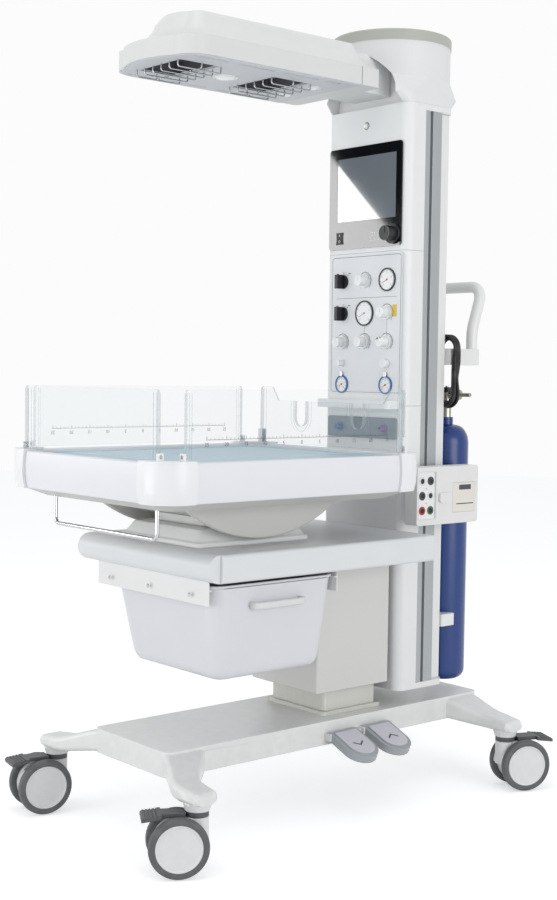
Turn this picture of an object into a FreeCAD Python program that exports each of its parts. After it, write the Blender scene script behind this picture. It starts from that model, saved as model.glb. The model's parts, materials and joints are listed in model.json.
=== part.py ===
"""Infant radiant warmer: a trolley with a lifting column, a tilting baby bed and a swivelling heater hood.

Units are millimetres. The layout is drawn about the middle of the bed: X is the width, -Y is the
front of the trolley, +Z is up and z = 0 is the floor. export_all() moves the origin to the middle
of the footprint.
"""
import FreeCAD, Part
import math
import os

V = FreeCAD.Vector
X_AXIS = V(1, 0, 0)
Y_AXIS = V(0, 1, 0)
Z_AXIS = V(0, 0, 1)

# Middle of the footprint, seen from the middle of the bed
ORIGIN_X = 0.0
ORIGIN_Y = 223.0

# Clearances
SEAT_GAP = 0.3
PIN_CLEARANCE = 0.05
SEAM_GAP = 0.6

# Twin wheel casters
WHEEL_D = 125.0
TYRE_W = 19.5
TYRE_WALL = 14.0
WHEEL_GAP = 49.0
CASTER_TRAIL = 40.0
AXLE_D = 10.0
COLLAR_D = 47.0
COLLAR_H = 12.0
HOUSING_TOP = 118.0
HOUSING_HUB_D = 96.0
STEM_D = 16.0
STEM_DEPTH = 30.0
BRAKE_LEN = 91.0
BRAKE_W = 58.0
BRAKE_PIVOT_Y = 34.0
BRAKE_PIVOT_Z = 108.0
BRAKE_PIN_D = 6.0
TRACK_HALF = 269.0
FRONT_CASTER_Y = -248.0
REAR_CASTER_Y = 696.0
FRONT_RIGHT_TURN = -31.0
FRONT_LEFT_TURN = -12.0
REAR_RIGHT_TURN = 156.0
REAR_LEFT_TURN = 172.0

# Base casting
BASE_TOP = 212.0
BASE_THICK = 55.0
BASE_HALF_W = 140.0
BASE_FRONT_Y = -231.0
BASE_REAR_Y = 738.0
LEG_TIP_REACH = 32.0
LEG_TIP_W = 64.0
LEG_BOSS_H = 14.0
LEG_BOSS_R = 26.0
LEG_TIP_H = 38.0
LEG_ROOT_W = 112.0
LEG_BOTTOM = HOUSING_TOP + COLLAR_H + SEAT_GAP

# Lift pedals
PEDAL_W = 86.0
PEDAL_LEN = 108.0
PEDAL_T = 18.0
PEDAL_TOP = 186.0
PEDAL_SLOPE = 22.0
PEDAL_PITCH = 106.0
PEDAL_NEAR_Y = 262.0
PEDAL_PIN_D = 8.0
PEDAL_PAD_T = 3.0

# Lift column
COL_FRONT_Y = 450.0
SHELF_BOTTOM = 578.0
FOOT_PLATE_T = 10.0
FOOT_PLATE_MARGIN = 10.0
INNER_HALF_W = 95.0
COVER_REAR_Y = COL_FRONT_Y - 12.0
COVER_FRONT_Y = COVER_REAR_Y - 231.0
INNER_FRONT_Y = COVER_FRONT_Y + 45.0
INNER_REAR_Y = COVER_REAR_Y - 20.0
INNER_WALL = 5.0
INNER_TOP = SHELF_BOTTOM - 16.0
SPINDLE_D = 22.0
COVER_HALF_W = 119.0
COVER_WALL = 3.0
COVER_BOTTOM = 272.0
GLIDE_LEN = 60.0
GLIDE_W = 40.0

# Rear column
COL_HALF_W = 141.0
PROFILE_FRONT_Y = COL_FRONT_Y + 60.0
PROFILE_REAR_Y = PROFILE_FRONT_Y + 56.0
COL_REAR_Y = PROFILE_REAR_Y + 46.0
COL_BOTTOM = 262.0
COL_TOP = 1640.0
COL_CORNER_R = 26.0
COL_WALL = 4.0
PROFILE_T = 26.0
PROFILE_SLOT_W = 9.0
PROFILE_SLOT_DEPTH = 9.0
CAP_T = 14.0
REAR_COVER_HALF_W = COL_HALF_W - 13.0

# Display and gas panel, on the front of the column
BEZEL_HALF_W = 126.0
BEZEL_HIGH = COL_TOP - 75.0
BEZEL_LOW = BEZEL_HIGH - 247.0
BEZEL_T = 3.0
SCREEN_W = 204.0
SCREEN_H = 155.0
SCREEN_X = 5.0
SCREEN_Z = BEZEL_HIGH - 102.5
SCREEN_SINK = 0.6
ENCODER_X = 100.0
ENCODER_Z = BEZEL_LOW + 28.0
ENCODER_D = 48.0
ENCODER_H = 30.0
ROCKER_X = -86.0
ROCKER_Z = BEZEL_LOW + 27.0
ROCKER_W = 23.0
ROCKER_H = 28.0
ROCKER_PIN_D = 2.0
SEAM_HIGH_Z = BEZEL_LOW - 12.0
PANEL_MID_X = 4.0
PANEL_COL_X = 77.0
ROW_1_Z = BEZEL_LOW - 80.0
ROW_2_Z = BEZEL_LOW - 159.0
ROW_3_Z = BEZEL_LOW - 229.0
ROW_4_Z = BEZEL_LOW - 281.0
ROW_5_Z = BEZEL_LOW - 333.0
KNOB_D = 34.0
KNOB_H = 26.0
KNOB_SHAFT_D = 6.0
GAUGE_D = 44.0
GAUGE_TOP_D = 56.0
GAUGE_BIG_D = 62.0
GAUGE_T = 3.5
GAUGE_DISH = 1.4
GAUGE_STEM_D = 8.0
GAUGE_STEM_LEN = 9.0
PORT_D = 15.0
PORT_LEN = 19.0
LEDGE_DEPTH = 40.0
LEDGE_T = 20.0
LEDGE_Z = BEZEL_LOW - 370.0
SEAM_LOW_Z = LEDGE_Z - 12.0
BAND_HIGH = LEDGE_Z - 42.0
BAND_LOW = LEDGE_Z - 93.0
BAND_T = 4.0
PORT_Z = (BAND_LOW + BAND_HIGH) / 2.0
LAMP_Z = COL_TOP - 28.0

# Shelf under the bed
SHELF_HALF_W = 255.0
SHELF_FRONT_Y = -209.0
SHELF_TOP = SHELF_BOTTOM + 60.0

# Pedestal and tilting cradle
PEDESTAL_HALF_W = 146.0
PEDESTAL_FRONT_Y = -162.0
PEDESTAL_REAR_Y = 154.0
PEDESTAL_LIP = 12.0
PEDESTAL_TOP = SHELF_TOP + 38.0
PEDESTAL_TAPER = 22.0
TILT_AXIS_Z = 1000.0
CRADLE_R = 346.0
ROLL_R = 320.0
SADDLE_HALF_W = 92.0
SADDLE_HALF_L = 104.0
CRADLE_HALF_W = 172.0
SKIRT_T = 14.0

# Bed
BED_HALF_W = 300.0
BED_HALF_L = 363.0
BED_BOTTOM = 750.0
BED_TOP = BED_BOTTOM + 82.0
BED_CORNER_R = 62.0
BED_RIM_W = 27.0
BED_FLOOR_T = 20.0
BED_BULGE = 6.0
CAP_PROUD = 7.0
CAP_LEN = 80.0
CAP_TOP_T = 4.0
MATTRESS_TOP = BED_TOP - 4.0
HULL_DEPTH = 17.0
HULL_TAPER = 52.0

# Acrylic panels
ACRYLIC_T = 6.0
PANEL_TOP = BED_TOP + 144.0
PANEL_LIFT = 6.0
PEG_Z = BED_TOP + 12.0
PEG_D = 8.0
SIDE_PANEL_X = BED_HALF_W - 13.0
SIDE_PANEL_HALF = BED_HALF_L - 63.0
END_PANEL_Y = BED_HALF_L - 23.0
END_PANEL_HALF = BED_HALF_W - 48.0
REAR_DIP_Z = PANEL_TOP - 34.0
REAR_DIP_HALF = 186.0
REAR_DIP_SLANT = 24.0
NOTCH_X = 101.0
NOTCH_W = 41.0
NOTCH_Z = REAR_DIP_Z - 41.5
NOTCH_RIM = 12.5
PANEL_CORNER_R = 6.0
END_STRIP_W = 12.0
END_STRIP_T = 10.0

# Front bar of the bed
BAR_D = 9.0
BAR_HALF_W = 194.0
BAR_Y = -300.0
BAR_Z = BED_BOTTOM - 78.0
BAR_BEND_R = 14.0

# Drawer
TUB_TOP_X = (-172.0, 213.0)
TUB_BOTTOM_X = (-118.0, 204.0)
TUB_TOP_Y = (-168.0, 175.0)
TUB_BOTTOM_Y = (-152.0, 146.0)
TUB_TOP = SHELF_BOTTOM - 12.0
TUB_BOTTOM = TUB_TOP - 204.0
TUB_WALL = 4.0
TUB_CORNER_R = 38.0
TUB_FOOT = ((24.0, 0.0), (12.0, 3.0), (4.0, 9.0), (0.0, 20.0))
FLANGE_W = 5.5
FLANGE_T = 6.0
RUNNER_HALF_L = 207.0
RUNNER_LOW = TUB_TOP - 41.0
RUNNER_T = 3.0
HANDLE_HALF = 72.0
HANDLE_Z = TUB_TOP - 46.0
HANDLE_STAND = 26.0
HANDLE_W = 15.0
HANDLE_T = 9.0

# Hood
HOOD_HALF_W = 147.0
HOOD_FRONT_Y = -196.0
HOOD_BOW = 26.0
HOOD_REAR_Y = COL_FRONT_Y - 97.0
HOOD_CORNER_R = 52.0
HOOD_BOTTOM = COL_TOP + 28.0
HOOD_BAND = 41.0
HOOD_TOP = HOOD_BOTTOM + 110.0
HOOD_TOP_INSET = 68.0
HOOD_WALL = 4.0
ARM_HALF_W = 62.0
ARM_TOP = HOOD_TOP - 6.0
OPENING_HALF_W = 76.0
OPENING_LEN = 104.0
FRONT_OPENING_Y = -115.0
REAR_OPENING_Y = 142.0
UNDERSIDE_T = 5.0
VENT_INSET = 24.0
VENT_HALF_W = 5.0
VENT_ROWS = ((-168.0, 92.0), (-48.0, 100.0), (81.0, 99.0), (205.0, 40.0))
GUARD_WIRE_D = 3.2
GUARD_DROP = 14.0
GUARD_PITCH = 30.0
GUARD_OVERHANG = 5.5
GUARD_WIRES = 6
HEATER_ROD_D = 11.0
TROUGH_DEPTH = 52.0
TROUGH_TAPER_X = 26.0
TROUGH_TAPER_Y = 16.0
TROUGH_WALL = 3.0

# Turret
TURRET_R = 144.0
TURRET_Y = (COL_FRONT_Y + COL_REAR_Y) / 2.0
TURRET_TOP = HOOD_TOP + 48.0
TURRET_BAND = 26.0
TURRET_WAIST = 40.0
ARCH_R = 122.0
ARCH_DEPTH = 62.0
SPIGOT_D = 60.0
SPIGOT_LEN = 34.0

# Vital signs module on the column's right side
MODULE_X = 164.0
MODULE_T = 40.0
MODULE_FRONT_Y = COL_FRONT_Y - 12.0
MODULE_REAR_Y = MODULE_FRONT_Y + 212.0
MODULE_LOW = 655.0
MODULE_HIGH = 793.0
SOCKET_D = 13.0
SOCKET_DEPTH = 3.0
PRINTER_FRONT_Y = MODULE_FRONT_Y + 122.0
DOOR_T = 6.0

# Push handle
PUSH_D = 28.0
PUSH_HALF_W = 120.0
PUSH_BEND_R = 38.0
PUSH_FOOT_Y = COL_REAR_Y + 99.0
PUSH_Y = PUSH_FOOT_Y + 37.0
PUSH_FOOT_Z = 1056.0
PUSH_KNEE_Z = PUSH_FOOT_Z + 66.0
PUSH_Z = PUSH_KNEE_Z + 112.0
PUSH_KNEE_R = 90.0
PUSH_BLOCK_W = 38.0
PUSH_BLOCK_H = 40.0

# Gas cylinder
CYL_D = 114.0
CYL_X = 62.0
CYL_Y = COL_REAR_Y + CYL_D / 2.0 + 17.0
CYL_BOTTOM = 242.0
CYL_FOOT_R = 24.0
CYL_SHOULDER = 838.0
CYL_NECK_Z = CYL_SHOULDER + 67.0
CYL_NECK_D = 34.0
CLAMP_LOW_Z = 402.0
CLAMP_HIGH_Z = 724.0
CLAMP_H = 30.0
CLAMP_T = 9.0
CLAMP_REACH = 30.0
VALVE_TOP = CYL_NECK_Z + 63.0
VALVE_OUTLET_D = 10.0
VALVE_OUTLET_LEN = 79.0
HANDWHEEL_D = 44.0

# Cable on the back of the column
CORD_D = 7.0
COIL_THICK = 13.0
COIL_DEPTH = 22.0
COIL_CLEARANCE = 1.0
COIL_LOW = PUSH_FOOT_Z - 127.0
CORD_ENTRY_X = 14.0
CORD_ENTRY_Z = PUSH_FOOT_Z + 94.0
CORD_ENTRY_W = 34.0
CORD_ENTRY_T = 26.0
GLAND_D = 17.0
GLAND_LEN = 11.0
PLUG_W = 32.0
PLUG_LEN = 44.0
PLUG_RELIEF_LEN = 33.0
PLUG_Z = PUSH_FOOT_Z - 52.0


def box(x0, x1, y0, y1, z0, z1):
    """A box between two corners."""
    return Part.makeBox(x1 - x0, y1 - y0, z1 - z0, V(x0, y0, z0))


def rod(diameter, start, end):
    """A round bar from one point to another."""
    run = V(*end) - V(*start)
    return Part.makeCylinder(diameter / 2.0, run.Length, V(*start), run)


def rounded_rectangle(x0, x1, y0, y1, r, z):
    """A flat closed wire with quarter-circle corners, at height z."""
    d = r * (1.0 - math.sqrt(0.5))
    edges = [
        Part.LineSegment(V(x0 + r, y0, z), V(x1 - r, y0, z)),
        Part.Arc(V(x1 - r, y0, z), V(x1 - d, y0 + d, z), V(x1, y0 + r, z)),
        Part.LineSegment(V(x1, y0 + r, z), V(x1, y1 - r, z)),
        Part.Arc(V(x1, y1 - r, z), V(x1 - d, y1 - d, z), V(x1 - r, y1, z)),
        Part.LineSegment(V(x1 - r, y1, z), V(x0 + r, y1, z)),
        Part.Arc(V(x0 + r, y1, z), V(x0 + d, y1 - d, z), V(x0, y1 - r, z)),
        Part.LineSegment(V(x0, y1 - r, z), V(x0, y0 + r, z)),
        Part.Arc(V(x0, y0 + r, z), V(x0 + d, y0 + d, z), V(x0 + r, y0, z)),
    ]
    return Part.Wire([edge.toShape() for edge in edges])


def slab(x0, x1, y0, y1, z0, z1, r):
    """A plate with rounded vertical corners."""
    face = Part.Face(rounded_rectangle(x0, x1, y0, y1, r, z0))
    return face.extrude(V(0, 0, z1 - z0))


def upright_slab(x0, x1, z0, z1, y0, y1, r):
    """A plate that faces along Y, with rounded corners seen from the front."""
    shape = slab(x0, x1, -z1, -z0, y0, y1, r)
    shape.rotate(V(0, 0, 0), X_AXIS, -90)
    return shape.mirror(V(0, 0, 0), Z_AXIS) if shape.BoundBox.ZMax < 0 else shape


def side_slab(y0, y1, z0, z1, x0, x1, r):
    """A plate that faces along X, with rounded corners seen from the side."""
    shape = slab(y0, y1, z0, z1, x0, x1, r)
    shape.rotate(V(0, 0, 0), V(1, 1, 1), 120)
    return shape


def extruded(points, direction):
    """A prism from a closed outline of straight edges."""
    wire = Part.makePolygon([V(*p) for p in points] + [V(*points[0])])
    return Part.Face(wire).extrude(V(*direction))


def bent_tube(diameter, points, radii):
    """A tube along straight runs joined by tangent arcs of the given radii."""
    corners = [V(*p) for p in points]
    edges = []
    start = corners[0]
    for corner, before, after, radius in zip(corners[1:-1], corners, corners[2:], radii):
        inward = (before - corner).normalize()
        outward = (after - corner).normalize()
        half = inward.getAngle(outward) / 2.0
        setback = radius / math.tan(half)
        bisector = (inward + outward).normalize()
        middle = corner + bisector * (radius / math.sin(half) - radius)
        arc_in = corner + inward * setback
        arc_out = corner + outward * setback
        edges.append(Part.LineSegment(start, arc_in).toShape())
        edges.append(Part.Arc(arc_in, middle, arc_out).toShape())
        start = arc_out
    edges.append(Part.LineSegment(start, corners[-1]).toShape())
    path = Part.Wire(edges)
    ring = Part.Wire(Part.makeCircle(diameter / 2.0, corners[0], corners[1] - corners[0]))
    return path.makePipeShell([ring], True, False)


def mirrored_x(shape):
    """The shape and its mirror image across the middle of the trolley."""
    return [shape, shape.mirror(V(0, 0, 0), X_AXIS)]


def caster_places():
    """Name, collar position and turn of each caster; zero turn trails towards the front."""
    return [
        ("front_right", TRACK_HALF, FRONT_CASTER_Y, FRONT_RIGHT_TURN),
        ("front_left", -TRACK_HALF, FRONT_CASTER_Y, FRONT_LEFT_TURN),
        ("rear_right", TRACK_HALF, REAR_CASTER_Y, REAR_RIGHT_TURN),
        ("rear_left", -TRACK_HALF, REAR_CASTER_Y, REAR_LEFT_TURN),
    ]


def placed_caster(shape, x, y, turn):
    """Puts a piece drawn about the swivel axis, trailing along -Y, at its caster."""
    piece = shape.copy()
    piece.rotate(V(0, 0, 0), Z_AXIS, turn)
    piece.translate(V(x, y, 0))
    return piece


def caster_housing():
    """The white body between the wheels: a round post that runs into a wheel arch."""
    wheel_r = WHEEL_D / 2.0
    half = WHEEL_GAP / 2.0 - 1.5
    post = Part.makeCylinder(COLLAR_D / 2.0, HOUSING_TOP - wheel_r, V(0, 0, wheel_r))
    hub = Part.makeCylinder(HOUSING_HUB_D / 2.0, 2 * half, V(-half, -CASTER_TRAIL, wheel_r), X_AXIS)
    arch = Part.makeCylinder(wheel_r - 4.0, 2 * half, V(-half, -CASTER_TRAIL, wheel_r), X_AXIS)
    arch = arch.common(box(-half, half, -CASTER_TRAIL - 12.0, 30.0, wheel_r, HOUSING_TOP))
    body = post.common(box(-half, half, -60, 60, 0, 200)).fuse([hub, arch])
    slot_half = BRAKE_W / 6.0 + 1.0
    slot = box(-slot_half, slot_half, -CASTER_TRAIL - 40.0, -COLLAR_D / 2.0 + 2.0, 94.0, 140.0)
    axle = rod(AXLE_D + 2 * PIN_CLEARANCE, (-60, -CASTER_TRAIL, wheel_r), (60, -CASTER_TRAIL, wheel_r))
    pin = rod(BRAKE_PIN_D, (-half, -BRAKE_PIVOT_Y, BRAKE_PIVOT_Z), (half, -BRAKE_PIVOT_Y, BRAKE_PIVOT_Z))
    stem = rod(STEM_D + 2 * PIN_CLEARANCE, (0, 0, HOUSING_TOP - STEM_DEPTH), (0, 0, HOUSING_TOP + 1))
    return body.cut(slot).cut(axle).cut(stem).fuse(pin).removeSplitter()


def caster_wheels():
    """Two crowned tyres on dished white discs, joined by the axle."""
    wheel_r = WHEEL_D / 2.0
    rim_r = wheel_r - TYRE_WALL
    solids = [rod(AXLE_D, (-WHEEL_GAP / 2.0, -CASTER_TRAIL, wheel_r), (WHEEL_GAP / 2.0, -CASTER_TRAIL, wheel_r))]
    for side in (-1.0, 1.0):
        inner = side * WHEEL_GAP / 2.0
        outer = side * (WHEEL_GAP / 2.0 + TYRE_W)
        crown = wheel_r - 5.0
        outline = [
            (inner, rim_r),
            (outer, rim_r),
            (outer, crown),
            ((2 * outer + inner) / 3.0, wheel_r - 1.2),
            ((outer + inner) / 2.0, wheel_r),
            ((outer + 2 * inner) / 3.0, wheel_r - 1.2),
            (inner, crown),
        ]
        wire = Part.makePolygon([V(x, 0, r) for x, r in outline + outline[:1]])
        tyre = Part.Face(wire).revolve(V(0, 0, 0), X_AXIS, 360)
        tyre.translate(V(0, -CASTER_TRAIL, wheel_r))
        solids.append(tyre)
        solids.append(rod(2 * rim_r, (inner, -CASTER_TRAIL, wheel_r), (outer, -CASTER_TRAIL, wheel_r)))
    return Part.makeCompound(solids)


def caster_brake():
    """The foot brake: a pivoting tongue, a neck between the wheels and a broad ribbed tread."""
    neck_half = BRAKE_W / 6.0
    neck_end = CASTER_TRAIL + 34.0
    tip = 24.0 + BRAKE_LEN
    neck = box(-2 * neck_half, 2 * neck_half, -neck_end, -26.0, 120.0, 128.5)
    tongue = box(-neck_half, neck_half, -BRAKE_PIVOT_Y - 8.0, -BRAKE_PIVOT_Y + 7.0, 101.0, 121.0)
    profile = [(0, -neck_end, 120.0), (0, -neck_end, 128.5), (0, -tip + 4.0, 124.5),
               (0, -tip, 121.0), (0, -tip, 114.5)]
    tread = extruded([(-BRAKE_W / 2.0, y, z) for _, y, z in profile], (BRAKE_W, 0, 0))
    shape = neck.fuse([tongue, tread])
    for i in range(4):
        y = -tip + 8.0 + 7.0 * i
        groove = box(-BRAKE_W, BRAKE_W, y, y + 2.4, 124.0 + 0.35 * i, 140.0)
        shape = shape.cut(groove)
    bore_d = BRAKE_PIN_D + 2 * PIN_CLEARANCE
    bore = rod(bore_d, (-30, -BRAKE_PIVOT_Y, BRAKE_PIVOT_Z), (30, -BRAKE_PIVOT_Y, BRAKE_PIVOT_Z))
    return shape.cut(bore).removeSplitter()


def caster_stems():
    """Four swivel stems with the grey collars that seat under the legs."""
    solids = []
    for _, x, y, _ in caster_places():
        collar = rod(COLLAR_D, (x, y, HOUSING_TOP + SEAT_GAP), (x, y, LEG_BOTTOM))
        stem = rod(STEM_D, (x, y, HOUSING_TOP - STEM_DEPTH + SEAT_GAP), (x, y, LEG_BOTTOM))
        solids.append(collar.fuse(stem).removeSplitter())
    return Part.makeCompound(solids)


def leg_section(x, y_mid, width, z_low, z_high):
    """A rounded section across a leg, in a plane of constant x."""
    r = 12.0
    wire = rounded_rectangle(-width / 2.0, width / 2.0, z_low, z_high, r, 0.0)
    wire.rotate(V(0, 0, 0), V(1, 1, 1), 120)
    wire.translate(V(x, y_mid, 0))
    return wire


def base_leg(side, caster_y, root_y):
    """One leg, which eases down and narrows from the beam to a conical boss over the caster."""
    base_low = BASE_TOP - BASE_THICK
    toe_low = LEG_BOTTOM + LEG_BOSS_H
    root_x = BASE_HALF_W - 30.0
    end_x = TRACK_HALF - 22.0
    tip_x = TRACK_HALF + LEG_TIP_REACH
    sections = []
    for step in range(8):
        share = step / 7.0
        ease = share * share * (3.0 - 2.0 * share)
        width = LEG_ROOT_W + ease * (LEG_TIP_W + 4.0 - LEG_ROOT_W)
        low = base_low + 1.0 + ease * (toe_low - base_low - 1.0)
        high = BASE_TOP - 1.0 + ease * (LEG_BOTTOM + LEG_TIP_H + 8.0 - BASE_TOP + 1.0)
        sections.append(leg_section(side * (root_x + share * (end_x - root_x)),
                                    root_y + ease * (caster_y - root_y), width, low, high))
    sections.append(leg_section(side * (tip_x - 8.0), caster_y, LEG_TIP_W - 2.0,
                                toe_low, LEG_BOTTOM + LEG_TIP_H + 2.0))
    sections.append(leg_section(side * tip_x, caster_y, LEG_TIP_W - 16.0,
                                toe_low + 1.0, LEG_BOTTOM + LEG_TIP_H - 6.0))
    boss = Part.makeCone(LEG_BOSS_R, LEG_TIP_REACH - 1.0, LEG_BOSS_H + 4.0, V(side * TRACK_HALF, caster_y, LEG_BOTTOM))
    return Part.makeLoft(sections, True, True).fuse(boss)


def base_casting():
    """The flat beam with its four legs."""
    base_low = BASE_TOP - BASE_THICK
    beam = slab(-BASE_HALF_W, BASE_HALF_W, BASE_FRONT_Y, BASE_REAR_Y, base_low, BASE_TOP, 18.0)
    front_root = BASE_FRONT_Y + LEG_ROOT_W / 2.0
    rear_root = BASE_REAR_Y - LEG_ROOT_W / 2.0 - 10.0
    legs = []
    for side in (1.0, -1.0):
        legs.append(base_leg(side, FRONT_CASTER_Y, front_root))
        legs.append(base_leg(side, REAR_CASTER_Y, rear_root))
    shape = beam.fuse(legs)
    pads = [pedal_bracket(y) for y in pedal_centres()]
    return shape.fuse(pads).removeSplitter()


def pedal_centres():
    return (PEDAL_NEAR_Y, PEDAL_NEAR_Y + PEDAL_PITCH)


def pedal_pin_place():
    return BASE_HALF_W + 12.0, PEDAL_TOP - PEDAL_T / 2.0


def pedal_bracket(y_mid):
    """A hinge pin between two ears on the side of the beam."""
    pin_x, pin_z = pedal_pin_place()
    half = PEDAL_W / 2.0
    ears = []
    for side in (-1.0, 1.0):
        y0 = y_mid + side * (half + SEAT_GAP) + (0.0 if side > 0 else -5.0)
        ears.append(box(BASE_HALF_W - 2.0, pin_x + 8.0, y0, y0 + 5.0, pin_z - 8.0, pin_z + 8.0))
    pin = rod(PEDAL_PIN_D, (pin_x, y_mid - half - 3.0, pin_z), (pin_x, y_mid + half + 3.0, pin_z))
    return ears[0].fuse([ears[1], pin])


def lift_pedal(y_mid):
    """A tongue-shaped foot pedal with a raised pad."""
    half = PEDAL_W / 2.0
    x0 = BASE_HALF_W + 6.0
    x1 = x0 + PEDAL_LEN
    z0 = PEDAL_TOP - PEDAL_T
    straight = box(x0, x1 - half, y_mid - half, y_mid + half, z0, PEDAL_TOP)
    nose = Part.makeCylinder(half, PEDAL_T, V(x1 - half, y_mid, z0))
    body = straight.fuse(nose).removeSplitter()
    inner = half - 9.0
    pad = box(x0 + 9.0, x1 - half, y_mid - inner, y_mid + inner, PEDAL_TOP, PEDAL_TOP + PEDAL_PAD_T)
    tip = Part.makeCylinder(inner, PEDAL_PAD_T, V(x1 - half, y_mid, PEDAL_TOP))
    pin_x, pin_z = pedal_pin_place()
    bore = rod(PEDAL_PIN_D + 2 * PIN_CLEARANCE, (pin_x, y_mid - 60, pin_z), (pin_x, y_mid + 60, pin_z))
    pedal = body.fuse([pad, tip]).removeSplitter().cut(bore)
    pedal.rotate(V(pin_x, y_mid, pin_z), Y_AXIS, PEDAL_SLOPE)
    return pedal


def lift_inner_column():
    """The fixed lower stage of the lift: foot plate, square tube and screw spindle."""
    m = FOOT_PLATE_MARGIN
    plate = slab(-INNER_HALF_W - m, INNER_HALF_W + m, INNER_FRONT_Y - m, INNER_REAR_Y + m,
                 BASE_TOP, BASE_TOP + FOOT_PLATE_T, 8.0)
    tube = slab(-INNER_HALF_W, INNER_HALF_W, INNER_FRONT_Y, INNER_REAR_Y, BASE_TOP, INNER_TOP, 8.0)
    w = INNER_WALL
    hollow = slab(-INNER_HALF_W + w, INNER_HALF_W - w, INNER_FRONT_Y + w, INNER_REAR_Y - w,
                  BASE_TOP + FOOT_PLATE_T, INNER_TOP + 1.0, 4.0)
    y_mid = (INNER_FRONT_Y + INNER_REAR_Y) / 2.0
    spindle = rod(SPINDLE_D, (0, y_mid, BASE_TOP + FOOT_PLATE_T), (0, y_mid, INNER_TOP - 6.0))
    z0 = INNER_TOP - 2.0 - GLIDE_LEN
    z1 = INNER_TOP - 2.0
    half = GLIDE_W / 2.0
    gap = COVER_WALL + SEAT_GAP
    across = box(-COVER_HALF_W + gap, COVER_HALF_W - gap, y_mid - half, y_mid + half, z0, z1)
    along = box(-half, half, COVER_FRONT_Y + gap, COVER_REAR_Y - gap, z0, z1)
    glides = across.fuse(along)
    return plate.fuse([tube, glides]).cut(hollow).fuse(spindle).removeSplitter()


def lift_cover_box():
    """The moving outer stage, open below, that hangs from the shelf."""
    outer = slab(-COVER_HALF_W, COVER_HALF_W, COVER_FRONT_Y, COVER_REAR_Y, COVER_BOTTOM, SHELF_BOTTOM, 6.0)
    w = COVER_WALL
    inner = slab(-COVER_HALF_W + w, COVER_HALF_W - w, COVER_FRONT_Y + w, COVER_REAR_Y - w,
                 COVER_BOTTOM - 1.0, SHELF_BOTTOM - w, 4.0)
    return outer.cut(inner)


def column_side_profiles():
    """Two extruded aluminium uprights, each with an accessory slot down its outer face."""
    y_slot = (PROFILE_FRONT_Y + PROFILE_REAR_Y) / 2.0 - 7.0
    bar = box(COL_HALF_W - PROFILE_T, COL_HALF_W, PROFILE_FRONT_Y, PROFILE_REAR_Y, COL_BOTTOM, COL_TOP)
    mouth = box(COL_HALF_W - PROFILE_SLOT_DEPTH, COL_HALF_W + 1.0, y_slot - PROFILE_SLOT_W / 2.0,
                y_slot + PROFILE_SLOT_W / 2.0, COL_BOTTOM - 1.0, COL_TOP + 1.0)
    return Part.makeCompound(mirrored_x(bar.cut(mouth)))


def cover_segment(z0, z1):
    """One length of the moulded front cover: a tray with round front corners."""
    outer = slab(-COL_HALF_W, COL_HALF_W, COL_FRONT_Y, PROFILE_FRONT_Y + COL_CORNER_R, z0, z1, COL_CORNER_R)
    w = COL_WALL
    inner = slab(-COL_HALF_W + w, COL_HALF_W - w, COL_FRONT_Y + w, PROFILE_FRONT_Y + COL_CORNER_R + w,
                 z0 - 1.0, z1 + 1.0, COL_CORNER_R - w)
    keep = box(-COL_HALF_W, COL_HALF_W, COL_FRONT_Y, PROFILE_FRONT_Y, z0, z1)
    return outer.cut(inner).common(keep)


def column_front_cover():
    """The white front of the column in three lengths, with a cap below and a cap above."""
    g = SEAM_GAP / 2.0
    solids = [
        cover_segment(COL_BOTTOM, SEAM_LOW_Z - g),
        cover_segment(SEAM_LOW_Z + g, SEAM_HIGH_Z - g),
        cover_segment(SEAM_HIGH_Z + g, COL_TOP),
    ]
    bottom = slab(-COL_HALF_W, COL_HALF_W, COL_FRONT_Y, COL_REAR_Y, COL_BOTTOM - CAP_T, COL_BOTTOM, COL_CORNER_R)
    top = slab(-COL_HALF_W, COL_HALF_W, COL_FRONT_Y, COL_REAR_Y, COL_TOP, COL_TOP + CAP_T, COL_CORNER_R)
    bore = rod(SPIGOT_D + 2 * PIN_CLEARANCE, (0, TURRET_Y, COL_TOP - 1.0), (0, TURRET_Y, COL_TOP + CAP_T + 1.0))
    return Part.makeCompound(solids + [bottom, top.cut(bore)])


def column_rear_cover():
    """The pressed rear cover that closes the column."""
    outer = slab(-REAR_COVER_HALF_W, REAR_COVER_HALF_W, PROFILE_REAR_Y - 12.0, COL_REAR_Y,
                 COL_BOTTOM, COL_TOP, 12.0)
    w = COVER_WALL
    inner = slab(-REAR_COVER_HALF_W + w, REAR_COVER_HALF_W - w, PROFILE_REAR_Y - 20.0, COL_REAR_Y - w,
                 COL_BOTTOM - 1.0, COL_TOP + 1.0, 8.0)
    keep = box(-200, 200, PROFILE_REAR_Y, COL_REAR_Y, COL_BOTTOM, COL_TOP)
    return outer.cut(inner).common(keep)


def shelf_body():
    """The thick shelf with a bull-nosed front edge."""
    r = (SHELF_TOP - SHELF_BOTTOM) / 2.0
    z_mid = SHELF_BOTTOM + r
    nose = rod(2 * r, (-SHELF_HALF_W + 8.0, SHELF_FRONT_Y + r, z_mid), (SHELF_HALF_W - 8.0, SHELF_FRONT_Y + r, z_mid))
    rear = COL_FRONT_Y
    core = box(-SHELF_HALF_W, SHELF_HALF_W, SHELF_FRONT_Y + r, rear, SHELF_BOTTOM, SHELF_TOP)
    lines = [edge for edge in core.Edges if edge.BoundBox.YLength > 100.0]
    return core.makeFillet(8.0, lines).fuse(nose).removeSplitter()


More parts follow.
